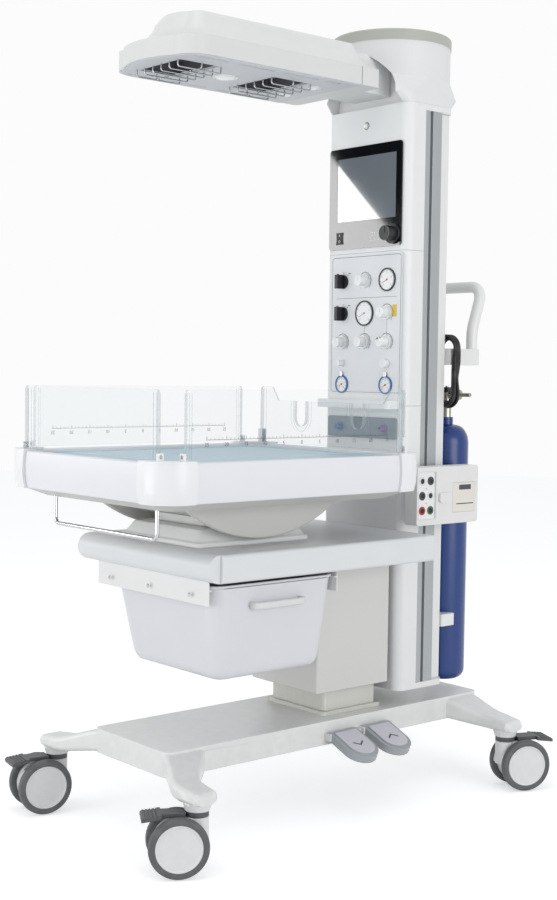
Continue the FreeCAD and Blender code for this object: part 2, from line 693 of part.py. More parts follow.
def shelf_pedestal():
    """The pedestal on the shelf, and on it the saddle that the cradle rolls in."""
    lip_top = SHELF_TOP + PEDESTAL_LIP
    lip = slab(-PEDESTAL_HALF_W, PEDESTAL_HALF_W, PEDESTAL_FRONT_Y, PEDESTAL_REAR_Y, SHELF_TOP, lip_top, 12.0)
    t = PEDESTAL_TAPER
    low = rounded_rectangle(-PEDESTAL_HALF_W + 6.0, PEDESTAL_HALF_W - 6.0, PEDESTAL_FRONT_Y + 6.0,
                            PEDESTAL_REAR_Y - 6.0, 10.0, lip_top)
    high = rounded_rectangle(-PEDESTAL_HALF_W + t, PEDESTAL_HALF_W - t, PEDESTAL_FRONT_Y + t,
                             PEDESTAL_REAR_Y - t, 10.0, PEDESTAL_TOP)
    taper = Part.makeLoft([low, high], True, True)
    block = box(-SADDLE_HALF_W, SADDLE_HALF_W, -SADDLE_HALF_L, SADDLE_HALF_L, PEDESTAL_TOP, SHELF_TOP + 90.0)
    bowl = rod(2 * (ROLL_R + SEAT_GAP), (-200, 0, TILT_AXIS_Z), (200, 0, TILT_AXIS_Z))
    return Part.makeCompound([lip.fuse(taper).removeSplitter(), block.cut(bowl)])


def bed_cradle():
    """The boat-shaped underside of the bed: a rolling surface between two curved skirts."""
    top = BED_BOTTOM
    m = 15.0
    high = rounded_rectangle(-BED_HALF_W + m, BED_HALF_W - m, -BED_HALF_L + m, BED_HALF_L - m, 40.0, top)
    t = HULL_TAPER
    low = rounded_rectangle(-BED_HALF_W + t, BED_HALF_W - t, -BED_HALF_L + t, BED_HALF_L - t, 40.0, top - HULL_DEPTH)
    pan = Part.makeLoft([high, low], True, True)
    block = box(-CRADLE_HALF_W, CRADLE_HALF_W, -240.0, 240.0, TILT_AXIS_Z - CRADLE_R - 1.0, top - HULL_DEPTH)
    drum = rod(2 * CRADLE_R, (-CRADLE_HALF_W, 0, TILT_AXIS_Z), (CRADLE_HALF_W, 0, TILT_AXIS_Z))
    inner_half = CRADLE_HALF_W - SKIRT_T
    channel = box(-inner_half, inner_half, -260.0, 260.0, 600.0, top - HULL_DEPTH)
    roller = rod(2 * ROLL_R, (-inner_half, 0, TILT_AXIS_Z), (inner_half, 0, TILT_AXIS_Z))
    hull = block.common(drum).cut(channel.cut(roller))
    return pan.fuse(hull).removeSplitter()


def bed_outline(inset, z):
    """The bed's outer plan, moved in by inset, at height z."""
    return rounded_rectangle(-BED_HALF_W + inset, BED_HALF_W - inset, -BED_HALF_L + inset,
                             BED_HALF_L - inset, BED_CORNER_R - inset, z)


def bed_barrel(grow):
    """The bulging outer form of the bed, grown outwards by grow."""
    mid = (BED_BOTTOM + BED_TOP) / 2.0
    levels = [(BED_BULGE, BED_BOTTOM), (1.5, mid - 22.0), (0.0, mid), (0.8, mid + 22.0), (3.0, BED_TOP)]
    return Part.makeLoft([bed_outline(inset - grow, z) for inset, z in levels], True, True)


def bed_cavity(z0, z1, clearance):
    w = BED_RIM_W + clearance
    return slab(-BED_HALF_W + w, BED_HALF_W - w, -BED_HALF_L + w, BED_HALF_L - w, z0, z1, BED_CORNER_R - BED_RIM_W)


def bed_frame():
    """The bed tray with its raised rim."""
    return bed_barrel(0.0).cut(bed_cavity(BED_BOTTOM + BED_FLOOR_T, BED_TOP + 1.0, 0.0))


def peg_ear(x, y, along_x):
    """A small ear on a corner cap, bored for a panel peg."""
    half = 7.0
    z0 = BED_TOP + CAP_TOP_T - 1.0
    if along_x:
        ear = box(x - 3.0, x + 3.0, y - half, y + half, z0, PEG_Z + half)
        bore = rod(PEG_D + 2 * PIN_CLEARANCE, (x - 9.0, y, PEG_Z), (x + 9.0, y, PEG_Z))
    else:
        ear = box(x - half, x + half, y - 3.0, y + 3.0, z0, PEG_Z + half)
        bore = rod(PEG_D + 2 * PIN_CLEARANCE, (x, y - 9.0, PEG_Z), (x, y + 9.0, PEG_Z))
    return ear, bore


def panel_guide(side):
    """An upright channel on a rear corner cap that the end of the lift-out panel stands in."""
    half = END_STRIP_T / 2.0 + SEAT_GAP
    end = END_PANEL_HALF + SEAT_GAP
    z0 = BED_TOP + CAP_TOP_T - 1.0
    outer = box(end - 9.0, end + 3.0, END_PANEL_Y - half - 3.0, END_PANEL_Y + half + 3.0, z0, z0 + 34.0)
    slot = box(end - 12.0, end, END_PANEL_Y - half, END_PANEL_Y + half, z0 + 1.0, z0 + 40.0)
    guide = outer.cut(slot)
    return guide if side > 0 else guide.mirror(V(0, 0, 0), X_AXIS)


def bed_corner_caps():
    """Four bulging corner caps that wrap the rim and carry the panel pegs."""
    outer = bed_barrel(CAP_PROUD).fuse(
        slab(-BED_HALF_W + 3 - CAP_PROUD, BED_HALF_W - 3 + CAP_PROUD, -BED_HALF_L + 3 - CAP_PROUD,
             BED_HALF_L - 3 + CAP_PROUD, BED_TOP, BED_TOP + CAP_TOP_T, BED_CORNER_R))
    shell = outer.cut(bed_barrel(SEAT_GAP / 2.0)).cut(bed_cavity(BED_BOTTOM - 5.0, BED_TOP + 20.0, 0.0))
    solids = []
    for sx in (1.0, -1.0):
        for sy in (1.0, -1.0):
            x_in = BED_HALF_W - CAP_LEN
            y_in = BED_HALF_L - CAP_LEN
            window = box(x_in, BED_HALF_W + 30.0, y_in, BED_HALF_L + 30.0, BED_BOTTOM - 5.0, BED_TOP + 30.0)
            if sx < 0:
                window = window.mirror(V(0, 0, 0), X_AXIS)
            if sy < 0:
                window = window.mirror(V(0, 0, 0), Y_AXIS)
            cap = shell.common(window)
            ears = [peg_ear(sx * SIDE_PANEL_X, sy * (SIDE_PANEL_HALF + 6.0), False)]
            if sy < 0:
                ears.append(peg_ear(sx * (END_PANEL_HALF + 6.0), -END_PANEL_Y, True))
            else:
                cap = cap.fuse(panel_guide(sx))
            for ear, bore in ears:
                cap = cap.fuse(ear).cut(bore)
            solids.append(cap.removeSplitter())
    return Part.makeCompound(solids)


def mattress():
    """The mattress, a plain closed form."""
    return bed_cavity(BED_BOTTOM + BED_FLOOR_T + SEAT_GAP, MATTRESS_TOP, 1.5)


def acrylic_plate(half_len, z0):
    """A clear panel drawn about x = 0 in the XZ plane, with thicker end strips."""
    t = ACRYLIC_T / 2.0
    plate = side_slab(-half_len, half_len, z0, PANEL_TOP, -t, t, PANEL_CORNER_R)
    foot = box(-t, t, -half_len, half_len, z0, z0 + 2 * PANEL_CORNER_R)
    s = END_STRIP_T / 2.0
    strips = [box(-s, s, y, y + END_STRIP_W, z0, PANEL_TOP - PANEL_CORNER_R)
              for y in (-half_len, half_len - END_STRIP_W)]
    return plate.fuse([foot] + strips).removeSplitter()


def folding_panel(half_len):
    """A clear panel with a peg at each end, on which it folds outwards."""
    body = acrylic_plate(half_len, PEG_Z - PANEL_LIFT)
    pegs = [rod(PEG_D, (0, side * (half_len - 8.0), PEG_Z), (0, side * (half_len + 8.5), PEG_Z))
            for side in (-1.0, 1.0)]
    return body.fuse(pegs).removeSplitter()


def side_panel(side):
    panel = folding_panel(SIDE_PANEL_HALF)
    panel.translate(V(side * SIDE_PANEL_X, 0, 0))
    return panel


def front_panel():
    panel = folding_panel(END_PANEL_HALF)
    panel.rotate(V(0, 0, 0), Z_AXIS, 90)
    panel.translate(V(0, -END_PANEL_Y, 0))
    return panel


def rear_panel():
    """The rear panel stands on the rim and lifts out; its top dips and has two rimmed hose notches."""
    panel = acrylic_plate(END_PANEL_HALF, BED_TOP + CAP_TOP_T + SEAT_GAP)
    t = END_STRIP_T / 2.0
    dip = REAR_DIP_HALF
    outline = [(-2 * t, -dip - REAR_DIP_SLANT, PANEL_TOP + 1), (-2 * t, -dip, REAR_DIP_Z), (-2 * t, dip, REAR_DIP_Z),
               (-2 * t, dip + REAR_DIP_SLANT, PANEL_TOP + 1)]
    panel = panel.cut(extruded(outline, (4 * t, 0, 0)))
    for y in (-NOTCH_X, NOTCH_X):
        outer = NOTCH_W / 2.0 + NOTCH_RIM
        rim = rod(2 * outer, (-t, y, NOTCH_Z), (t, y, NOTCH_Z)).fuse(box(-t, t, y - outer, y + outer, NOTCH_Z, REAR_DIP_Z))
        mouth = rod(NOTCH_W, (-2 * t, y, NOTCH_Z), (2 * t, y, NOTCH_Z))
        mouth = mouth.fuse(box(-2 * t, 2 * t, y - NOTCH_W / 2.0, y + NOTCH_W / 2.0, NOTCH_Z, REAR_DIP_Z + 1.0))
        panel = panel.fuse(rim).cut(mouth)
    panel = panel.removeSplitter()
    panel.rotate(V(0, 0, 0), Z_AXIS, 90)
    panel.translate(V(0, END_PANEL_Y, 0))
    return panel


def bed_front_bar():
    """The bent steel bar under the front of the bed."""
    top = BED_BOTTOM - HULL_DEPTH
    points = [(-BAR_HALF_W, BAR_Y, top), (-BAR_HALF_W, BAR_Y, BAR_Z), (BAR_HALF_W, BAR_Y, BAR_Z),
              (BAR_HALF_W, BAR_Y, top)]
    return bent_tube(BAR_D, points, [BAR_BEND_R, BAR_BEND_R])


def tub_level(inset, z):
    """The tub's plan at a height, moved in by inset."""
    share = (TUB_TOP - z) / (TUB_TOP - TUB_BOTTOM)
    x0, x1 = (top + share * (low - top) for top, low in zip(TUB_TOP_X, TUB_BOTTOM_X))
    y0, y1 = (top + share * (low - top) for top, low in zip(TUB_TOP_Y, TUB_BOTTOM_Y))
    return rounded_rectangle(x0 + inset, x1 - inset, y0 + inset, y1 - inset, TUB_CORNER_R - inset, z)


def drawer_tub():
    """The deep moulded tub with tapering walls, a rounded foot and a hanging flange."""
    w = TUB_WALL
    outer = Part.makeLoft([tub_level(0, TUB_TOP)] + [tub_level(inset, TUB_BOTTOM + rise) for rise, inset in TUB_FOOT],
                          True, True)
    inner = Part.makeLoft([tub_level(w, TUB_TOP + 0.1)]
                          + [tub_level(inset + w, TUB_BOTTOM + rise + w) for rise, inset in TUB_FOOT], True, True)
    flange = slab(TUB_TOP_X[0], TUB_TOP_X[1], TUB_TOP_Y[0] - FLANGE_W, TUB_TOP_Y[1] + FLANGE_W,
                  TUB_TOP - FLANGE_T, TUB_TOP, TUB_CORNER_R)
    return outer.fuse(flange).cut(inner).removeSplitter()


def drawer_handle():
    """The bow handle on the front of the tub."""
    face = TUB_TOP_X[1] - 1.5
    low = HANDLE_Z - HANDLE_W / 2.0
    high = HANDLE_Z + HANDLE_W / 2.0
    out = face + HANDLE_STAND
    outline = [(face, -HANDLE_HALF), (out - 8, -HANDLE_HALF), (out, -HANDLE_HALF + 12),
               (out, HANDLE_HALF - 12), (out - 8, HANDLE_HALF), (face, HANDLE_HALF),
               (face, HANDLE_HALF - HANDLE_T), (out - 12, HANDLE_HALF - HANDLE_T),
               (out - HANDLE_T, HANDLE_HALF - 20), (out - HANDLE_T, -HANDLE_HALF + 20),
               (out - 12, -HANDLE_HALF + HANDLE_T), (face, -HANDLE_HALF + HANDLE_T)]
    bow = extruded([(x, y, low) for x, y in outline], (0, 0, high - low))
    slope = (TUB_TOP_X[1] - TUB_BOTTOM_X[1]) / (TUB_TOP - TUB_BOTTOM)
    tub_face = TUB_TOP_X[1] - slope * (TUB_TOP - HANDLE_Z)
    reach = box(tub_face - 0.2, face + 0.1, -HANDLE_HALF, -HANDLE_HALF + HANDLE_T, low, high)
    other = box(tub_face - 0.2, face + 0.1, HANDLE_HALF - HANDLE_T, HANDLE_HALF, low, high)
    return bow.fuse([reach, other]).cut(drawer_tub()).removeSplitter()


def drawer_runners():
    """Two folded runners under the shelf; the tub's flange slides on their ledges."""
    solids = []
    ledge_top = TUB_TOP - FLANGE_T - SEAT_GAP
    for side, wall_y in ((-1.0, TUB_TOP_Y[0]), (1.0, TUB_TOP_Y[1])):
        plate_y = wall_y + side * (FLANGE_W + 1.5)
        y0, y1 = sorted((plate_y, plate_y + side * RUNNER_T))
        plate = box(-RUNNER_HALF_L, RUNNER_HALF_L, y0, y1, RUNNER_LOW, SHELF_BOTTOM)
        y0, y1 = sorted((plate_y, wall_y + side * 0.8))
        ledge = box(-RUNNER_HALF_L, RUNNER_HALF_L, y0, y1, ledge_top - RUNNER_T, ledge_top)
        solids.append(plate.fuse(ledge).removeSplitter())
    return Part.makeCompound(solids)


def hood_outline(inset, z):
    """The hood's plan: straight sides, round corners and a bowed front, moved in by inset."""
    half = HOOD_HALF_W - inset
    y0 = HOOD_FRONT_Y + inset
    y1 = HOOD_REAR_Y - inset * 0.25
    r = max(HOOD_CORNER_R - inset * 0.4, 8.0)
    bow = HOOD_BOW - inset * 0.1
    d = r * (1.0 - math.sqrt(0.5))
    q = 14.0
    e = q * (1.0 - math.sqrt(0.5))
    edges = [
        Part.Arc(V(-half + r, y0, z), V(0, y0 - bow, z), V(half - r, y0, z)),
        Part.Arc(V(half - r, y0, z), V(half - d, y0 + d, z), V(half, y0 + r, z)),
        Part.LineSegment(V(half, y0 + r, z), V(half, y1 - q, z)),
        Part.Arc(V(half, y1 - q, z), V(half - e, y1 - e, z), V(half - q, y1, z)),
        Part.LineSegment(V(half - q, y1, z), V(-half + q, y1, z)),
        Part.Arc(V(-half + q, y1, z), V(-half + e, y1 - e, z), V(-half, y1 - q, z)),
        Part.LineSegment(V(-half, y1 - q, z), V(-half, y0 + r, z)),
        Part.Arc(V(-half, y0 + r, z), V(-half + d, y0 + d, z), V(-half + r, y0, z)),
    ]
    return Part.Wire([edge.toShape() for edge in edges])


def hood_form(shrink):
    """The outer form of the hood: an upright band, then a hollow-curved roof."""
    band_top = HOOD_BOTTOM + HOOD_BAND
    rise = HOOD_TOP - band_top
    levels = [(0.0, HOOD_BOTTOM), (0.0, band_top)]
    for share_in, share_up in ((0.28, 0.08), (0.62, 0.30), (0.84, 0.60), (0.94, 0.84), (1.08, 1.0)):
        levels.append((HOOD_TOP_INSET * share_in, band_top + rise * share_up))
    return Part.makeLoft([hood_outline(inset + shrink, z - shrink) for inset, z in levels], True, True)


def hood_arm():
    """The arm that joins the hood to the turret."""
    arm = slab(-ARM_HALF_W, ARM_HALF_W, HOOD_REAR_Y - 40.0, TURRET_Y - 60.0, HOOD_BOTTOM + 8.0, ARM_TOP, 10.0)
    lines = [e for e in arm.Edges if e.BoundBox.YLength > 60.0 and e.BoundBox.ZMin > ARM_TOP - 1.0]
    return arm.makeFillet(24.0, lines)


def hood_shell():
    """The hood's casing, open below."""
    hollow = hood_form(HOOD_WALL).common(box(-200, 200, -300, HOOD_REAR_Y - 60.0, HOOD_BOTTOM - 9.0, HOOD_TOP))
    return hood_form(0.0).cut(hollow).fuse(hood_arm()).removeSplitter()


def opening_centres():
    return (FRONT_OPENING_Y, REAR_OPENING_Y)


def hood_underside():
    """The lower panel with two heater windows, a lamp window and rows of vent slots."""
    z0 = HOOD_BOTTOM - 2.0
    inset = HOOD_WALL + SEAT_GAP
    plate = Part.Face(hood_outline(inset, z0)).extrude(V(0, 0, UNDERSIDE_T))
    plate = plate.common(box(-200, 200, -300, HOOD_REAR_Y - 62.0, z0, z0 + UNDERSIDE_T))
    cuts = []
    for y in opening_centres():
        cuts.append(slab(-OPENING_HALF_W, OPENING_HALF_W, y - OPENING_LEN / 2.0, y + OPENING_LEN / 2.0,
                         z0 - 1.0, z0 + UNDERSIDE_T + 1.0, 8.0))
    for side in (-1.0, 1.0):
        x = side * (HOOD_HALF_W - VENT_INSET)
        for y, length in VENT_ROWS:
            cuts.append(box(x - VENT_HALF_W, x + VENT_HALF_W, y, y + length, z0 - 1.0, z0 + UNDERSIDE_T + 1.0))
    return plate.cut(Part.makeCompound(cuts))


def heater_guard(y_mid):
    """A hanging guard: U-shaped wires along the hood with one across that lies on them."""
    z_high = HOOD_BOTTOM - 2.0 - 2 * SEAT_GAP
    z_low = z_high - GUARD_DROP
    y0 = y_mid - OPENING_LEN / 2.0 - GUARD_OVERHANG
    y1 = y_mid + OPENING_LEN / 2.0 + GUARD_OVERHANG
    wires = []
    for i in range(GUARD_WIRES):
        x = (i - (GUARD_WIRES - 1) / 2.0) * GUARD_PITCH
        wires.append(bent_tube(GUARD_WIRE_D, [(x, y0, z_high), (x, y0, z_low), (x, y1, z_low), (x, y1, z_high)], [5.0, 5.0]))
    x = GUARD_PITCH * (GUARD_WIRES - 1) / 2.0 + 7.0
    z = z_low + GUARD_WIRE_D + 0.1
    wires.append(bent_tube(GUARD_WIRE_D, [(-x, y_mid, z_high), (-x, y_mid, z), (x, y_mid, z), (x, y_mid, z_high)], [4.0, 4.0]))
    return wires


def heater_reflectors():
    """Two trough reflectors, open below, each with two heating rods across it."""
    solids = []
    z0 = HOOD_BOTTOM - 2.0 + UNDERSIDE_T + SEAT_GAP
    w = TROUGH_WALL
    for y in opening_centres():
        half = OPENING_HALF_W + 6.0
        length = OPENING_LEN / 2.0 + 6.0

        def level(inset, z, share):
            across = half - inset - share * TROUGH_TAPER_X
            along = length - inset - share * TROUGH_TAPER_Y
            return rounded_rectangle(-across, across, y - along, y + along, 6.0 - inset / 1.5, z)

        trough = Part.makeLoft([level(0.0, z0, 0.0), level(0.0, z0 + TROUGH_DEPTH, 1.0)], True, True)
        hollow = Part.makeLoft([level(w, z0 - 0.1, 0.0), level(w, z0 + TROUGH_DEPTH - w, 1.0)], True, True)
        end = length - w - TROUGH_TAPER_Y * 24.0 / TROUGH_DEPTH + 1.0
        rods = [rod(HEATER_ROD_D, (x, y - end, z0 + 24.0), (x, y + end, z0 + 24.0)) for x in (-24.0, 24.0)]
        solids.append(trough.cut(hollow).fuse(rods).removeSplitter())
    return Part.makeCompound(solids)


def heater_guards():
    """The hanging wire guard under each heater."""
    return Part.makeCompound(sum([heater_guard(y) for y in opening_centres()], []))


def turret():
    """The swivelling head of the column: a round drum on a squarer waist, with an arch for the arm."""
    foot_z = COL_TOP + CAP_T + SEAT_GAP
    r = TURRET_R
    k = r * 0.86
    sections = [
        rounded_rectangle(-COL_HALF_W, COL_HALF_W, COL_FRONT_Y, COL_REAR_Y, COL_CORNER_R, foot_z),
        rounded_rectangle(-COL_HALF_W, COL_HALF_W, TURRET_Y - k, TURRET_Y + k, 70.0, foot_z + TURRET_WAIST * 0.6),
        rounded_rectangle(-r, r, TURRET_Y - r, TURRET_Y + r, r - 1.0, foot_z + TURRET_WAIST * 1.6),
    ]
    waist = Part.makeLoft(sections, True, True)
    drum_low = foot_z + TURRET_WAIST * 1.6
    drum = Part.makeCylinder(r, TURRET_TOP - TURRET_BAND - drum_low, V(0, TURRET_Y, drum_low))
    lid = Part.makeCylinder(r + 2.0, TURRET_BAND, V(0, TURRET_Y, TURRET_TOP - TURRET_BAND))
    lid = lid.makeFillet(5.0, [e for e in lid.Edges if e.BoundBox.ZMin > TURRET_TOP - 1.0])
    spigot = rod(SPIGOT_D, (0, TURRET_Y, foot_z - SPIGOT_LEN), (0, TURRET_Y, foot_z + 5.0))
    arch = rod(2 * ARCH_R, (0, TURRET_Y - 200.0, foot_z), (0, TURRET_Y - ARCH_DEPTH, foot_z))
    body = waist.fuse([drum, lid]).cut(arch).cut(hood_arm()).fuse(spigot)
    return body.removeSplitter()


def display_unit():
    """The black display surround, nearly flush with the column, and its screen."""
    y0 = COL_FRONT_Y - BEZEL_T
    y1 = y0 + BEZEL_T * 0.6
    x0 = SCREEN_X - SCREEN_W / 2.0
    x1 = SCREEN_X + SCREEN_W / 2.0
    z0 = SCREEN_Z - SCREEN_H / 2.0
    z1 = SCREEN_Z + SCREEN_H / 2.0
    frame = upright_slab(-BEZEL_HALF_W, BEZEL_HALF_W, BEZEL_LOW, BEZEL_HIGH, y0, COL_FRONT_Y, 8.0)
    pocket = box(x0, x1, y0 - 1.0, y1, z0, z1)
    encoder = rod(KNOB_SHAFT_D + 2 * PIN_CLEARANCE, (ENCODER_X, y0 - 1, ENCODER_Z), (ENCODER_X, COL_FRONT_Y + 1.0, ENCODER_Z))
    half_w = ROCKER_W / 2.0 + 1.0
    half_h = ROCKER_H / 2.0 + 1.0
    rocker = box(ROCKER_X - half_w, ROCKER_X + half_w, y0 - 1.0, COL_FRONT_Y + 1.0, ROCKER_Z - half_h, ROCKER_Z + half_h)
    frame = frame.cut(pocket).cut(encoder).cut(rocker)
    pin = rod(ROCKER_PIN_D, (ROCKER_X - half_w, y0 + BEZEL_T / 2.0, ROCKER_Z), (ROCKER_X + half_w, y0 + BEZEL_T / 2.0, ROCKER_Z))
    glass = box(x0 + 0.2, x1 - 0.2, y0 + SCREEN_SINK, y1, z0 + 0.2, z1 - 0.2)
    return Part.makeCompound([frame.fuse(pin), glass])


def rocker_switch():
    """The mains rocker on its pin."""
    y0 = COL_FRONT_Y - BEZEL_T
    x0 = ROCKER_X - ROCKER_W / 2.0
    h = ROCKER_H / 2.0
    points = [(x0, y0 - 2.2, ROCKER_Z - h), (x0, y0 - 0.4, ROCKER_Z), (x0, y0 - 2.2, ROCKER_Z + h),
              (x0, y0 + 0.2, ROCKER_Z + h), (x0, y0 + BEZEL_T - 0.2, ROCKER_Z), (x0, y0 + 0.2, ROCKER_Z - h)]
    body = extruded(points, (ROCKER_W, 0, 0))
    bore = rod(ROCKER_PIN_D + 2 * PIN_CLEARANCE, (ROCKER_X - ROCKER_W, y0 + BEZEL_T / 2.0, ROCKER_Z),
               (ROCKER_X + ROCKER_W, y0 + BEZEL_T / 2.0, ROCKER_Z))
    return body.cut(bore)


def knob(x, z, diameter, height, face_y):
    """A round knob with a shaft, a waist and a pointer rib, on a panel face at face_y."""
    y1 = face_y - SEAT_GAP
    cap = rod(diameter * 0.74, (x, y1 - height, z), (x, y1 - 6.0, z))
    skirt = rod(diameter, (x, y1 - 6.0, z), (x, y1, z))
    rib = box(x - 2.0, x + 2.0, y1 - height - 1.5, y1 - height + 1.0, z, z + diameter * 0.34)
    shaft = rod(KNOB_SHAFT_D, (x, y1, z), (x, face_y + 5.0, z))
    return cap.fuse([skirt, rib, shaft]).removeSplitter()


def bar_knob(x, z, diameter, height, face_y):
    """A selector knob: a round skirt with a broad grip bar."""
    y1 = face_y - SEAT_GAP
    skirt = rod(diameter, (x, y1 - 5.0, z), (x, y1, z))
    bar = box(x - 5.0, x + 5.0, y1 - height, y1 - 5.0, z - diameter / 2.0, z + diameter / 2.0)
    shaft = rod(KNOB_SHAFT_D, (x, y1, z), (x, face_y + 5.0, z))
    return skirt.fuse([bar, shaft]).removeSplitter()


def gauge(x, z, diameter):
    """A round pressure gauge in a low bezel."""
    y1 = COL_FRONT_Y
    body = rod(diameter, (x, y1 - GAUGE_T, z), (x, y1, z))
    dish = rod(diameter - 7.0, (x, y1 - GAUGE_T - 1.0, z), (x, y1 - GAUGE_T + GAUGE_DISH, z))
    return body.cut(dish)


def panel_columns():
    """The three upright lines that the gas panel's fittings stand on."""
    return PANEL_MID_X - PANEL_COL_X, PANEL_MID_X, PANEL_MID_X + PANEL_COL_X


def gas_panel_fittings():
    """Gauges, outlets, the alarm lamp, the ledge and the gas ports on the column's front."""
    y1 = COL_FRONT_Y
    left, middle, right = panel_columns()
    solids = [gauge(right, ROW_1_Z, GAUGE_TOP_D), gauge(middle, ROW_2_Z, GAUGE_BIG_D)]
    for x in (left, right):
        stem_z = ROW_5_Z + GAUGE_D / 2.0
        stem = rod(GAUGE_STEM_D, (x, y1 - GAUGE_STEM_D / 2.0, stem_z - 2.0), (x, y1 - GAUGE_STEM_D / 2.0, stem_z + GAUGE_STEM_LEN))
        boss = rod(GAUGE_STEM_D + 2.0, (x, y1 - GAUGE_STEM_D / 2.0 - 1.0, stem_z + 3.0), (x, y1, stem_z + 3.0))
        solids.append(gauge(x, ROW_5_Z, GAUGE_D).fuse([stem, boss]).removeSplitter())
    solids.append(rod(PORT_D, (left, y1 - 18.0, ROW_4_Z), (left, y1, ROW_4_Z)))
    solids.append(rod(KNOB_D * 0.6, (right, y1 - 14.0, ROW_4_Z), (right, y1, ROW_4_Z)))
    solids.append(rod(12.0, (0, y1 - 6.0, LAMP_Z), (0, y1, LAMP_Z)))
    ledge = slab(-BEZEL_HALF_W, BEZEL_HALF_W, y1 - LEDGE_DEPTH, y1 + 12.0, LEDGE_Z - LEDGE_T, LEDGE_Z, 12.0)
    solids.append(ledge.common(box(-COL_HALF_W, COL_HALF_W, y1 - 2 * LEDGE_DEPTH, y1, LEDGE_Z - 2 * LEDGE_T, LEDGE_Z + 1.0)))
    half = (BEZEL_HALF_W - 5.5)
    band = upright_slab(PANEL_MID_X - half - 1.5, PANEL_MID_X + half - 1.5, BAND_LOW, BAND_HIGH, y1 - BAND_T, y1, 5.0)
    for x in (left, right):
        band = band.fuse(rod(PORT_D, (x, y1 - PORT_LEN, PORT_Z), (x, y1, PORT_Z)))
        band = band.fuse(rod(PORT_D + 8.0, (x, y1 - 8.0, PORT_Z), (x, y1, PORT_Z)))
        band = band.cut(rod(PORT_D - 7.0, (x, y1 - PORT_LEN - 1.0, PORT_Z), (x, y1 - PORT_LEN + 4.0, PORT_Z)))
    solids.append(band.removeSplitter())
    return Part.makeCompound(solids)


def module_housing():
    """The sensor and printer module on its bracket, with round sockets in its right face."""
    x1 = MODULE_X + MODULE_T
    body = side_slab(MODULE_FRONT_Y, MODULE_REAR_Y, MODULE_LOW, MODULE_HIGH, MODULE_X, x1, 7.0)
    recess = side_slab(MODULE_FRONT_Y + 6.0, MODULE_FRONT_Y + 64.0, MODULE_LOW + 14.0, MODULE_HIGH - 12.0,
                       x1 - 4.0, x1 + 1.0, 5.0)
    body = body.cut(recess)
    for row in range(3):
        z = MODULE_HIGH - 33.0 - row * 35.0
        for y in (MODULE_FRONT_Y + 21.0, MODULE_FRONT_Y + 49.0):
            body = body.cut(rod(SOCKET_D, (x1 - 4.0 - SOCKET_DEPTH, y, z), (x1, y, z)))
    slot = box(x1 - DOOR_T, x1 + 1.0, PRINTER_FRONT_Y, MODULE_REAR_Y - 12.0, MODULE_LOW + 26.0, MODULE_HIGH - 40.0)
    pin_y = PRINTER_FRONT_Y + 4.0
    z_pin = (MODULE_LOW + 26.0 - 4.0, MODULE_HIGH - 40.0 + 4.0)
    body = body.cut(slot).fuse(rod(3.0, (x1 - 3.0, pin_y, z_pin[0]), (x1 - 3.0, pin_y, z_pin[1])))
    bracket = box(COL_HALF_W, MODULE_X, PROFILE_FRONT_Y + 3.0, PROFILE_REAR_Y - 3.0, MODULE_LOW + 20.0, MODULE_HIGH - 20.0)
    thumb = side_slab(MODULE_FRONT_Y + 72.0, MODULE_FRONT_Y + 108.0, MODULE_LOW + 52.0, MODULE_LOW + 76.0,
                      x1, x1 + 8.0, 6.0)
    return body.fuse([bracket, thumb]).removeSplitter()


def printer_door():
    """The paper door of the printer, on an upright pin."""
    x1 = MODULE_X + MODULE_T
    z0 = MODULE_LOW + 26.5
    z1 = MODULE_HIGH - 40.5
    pin_y = PRINTER_FRONT_Y + 4.0
    door = box(x1 - DOOR_T + 1.0, x1, pin_y, MODULE_REAR_Y - 12.5, z0, z1)
    door = door.fuse(rod(DOOR_T - 0.2, (x1 - 3.0, pin_y, z0), (x1 - 3.0, pin_y, z1)))
    bore = rod(3.0 + 2 * PIN_CLEARANCE, (x1 - 3.0, pin_y, 0), (x1 - 3.0, pin_y, 2000))
    return door.cut(bore).removeSplitter()


def push_handle():
    """The bent tube handle behind the column, with its two clamp blocks."""
    x = PUSH_HALF_W
    low = PUSH_FOOT_Z - PUSH_BLOCK_H / 2.0 + 4.0
    points = [(x, PUSH_FOOT_Y, low), (x, PUSH_FOOT_Y, PUSH_KNEE_Z), (x, PUSH_Y, PUSH_Z),
              (-x, PUSH_Y, PUSH_Z), (-x, PUSH_FOOT_Y, PUSH_KNEE_Z), (-x, PUSH_FOOT_Y, low)]
    tube = bent_tube(PUSH_D, points, [PUSH_KNEE_R, PUSH_BEND_R, PUSH_BEND_R, PUSH_KNEE_R])
    solids = [tube]
    half_w = PUSH_BLOCK_W / 2.0
    z0 = PUSH_FOOT_Z - PUSH_BLOCK_H / 2.0
    z1 = PUSH_FOOT_Z + PUSH_BLOCK_H / 2.0
    for side in (1.0, -1.0):
        arm = box(side * x - half_w, side * x + half_w, COL_REAR_Y, PUSH_FOOT_Y, z0, z1)
        end = rod(PUSH_BLOCK_W, (side * x, PUSH_FOOT_Y, z0), (side * x, PUSH_FOOT_Y, z1))
        solids.append(arm.fuse(end).removeSplitter().cut(tube))
    return Part.makeCompound(solids)


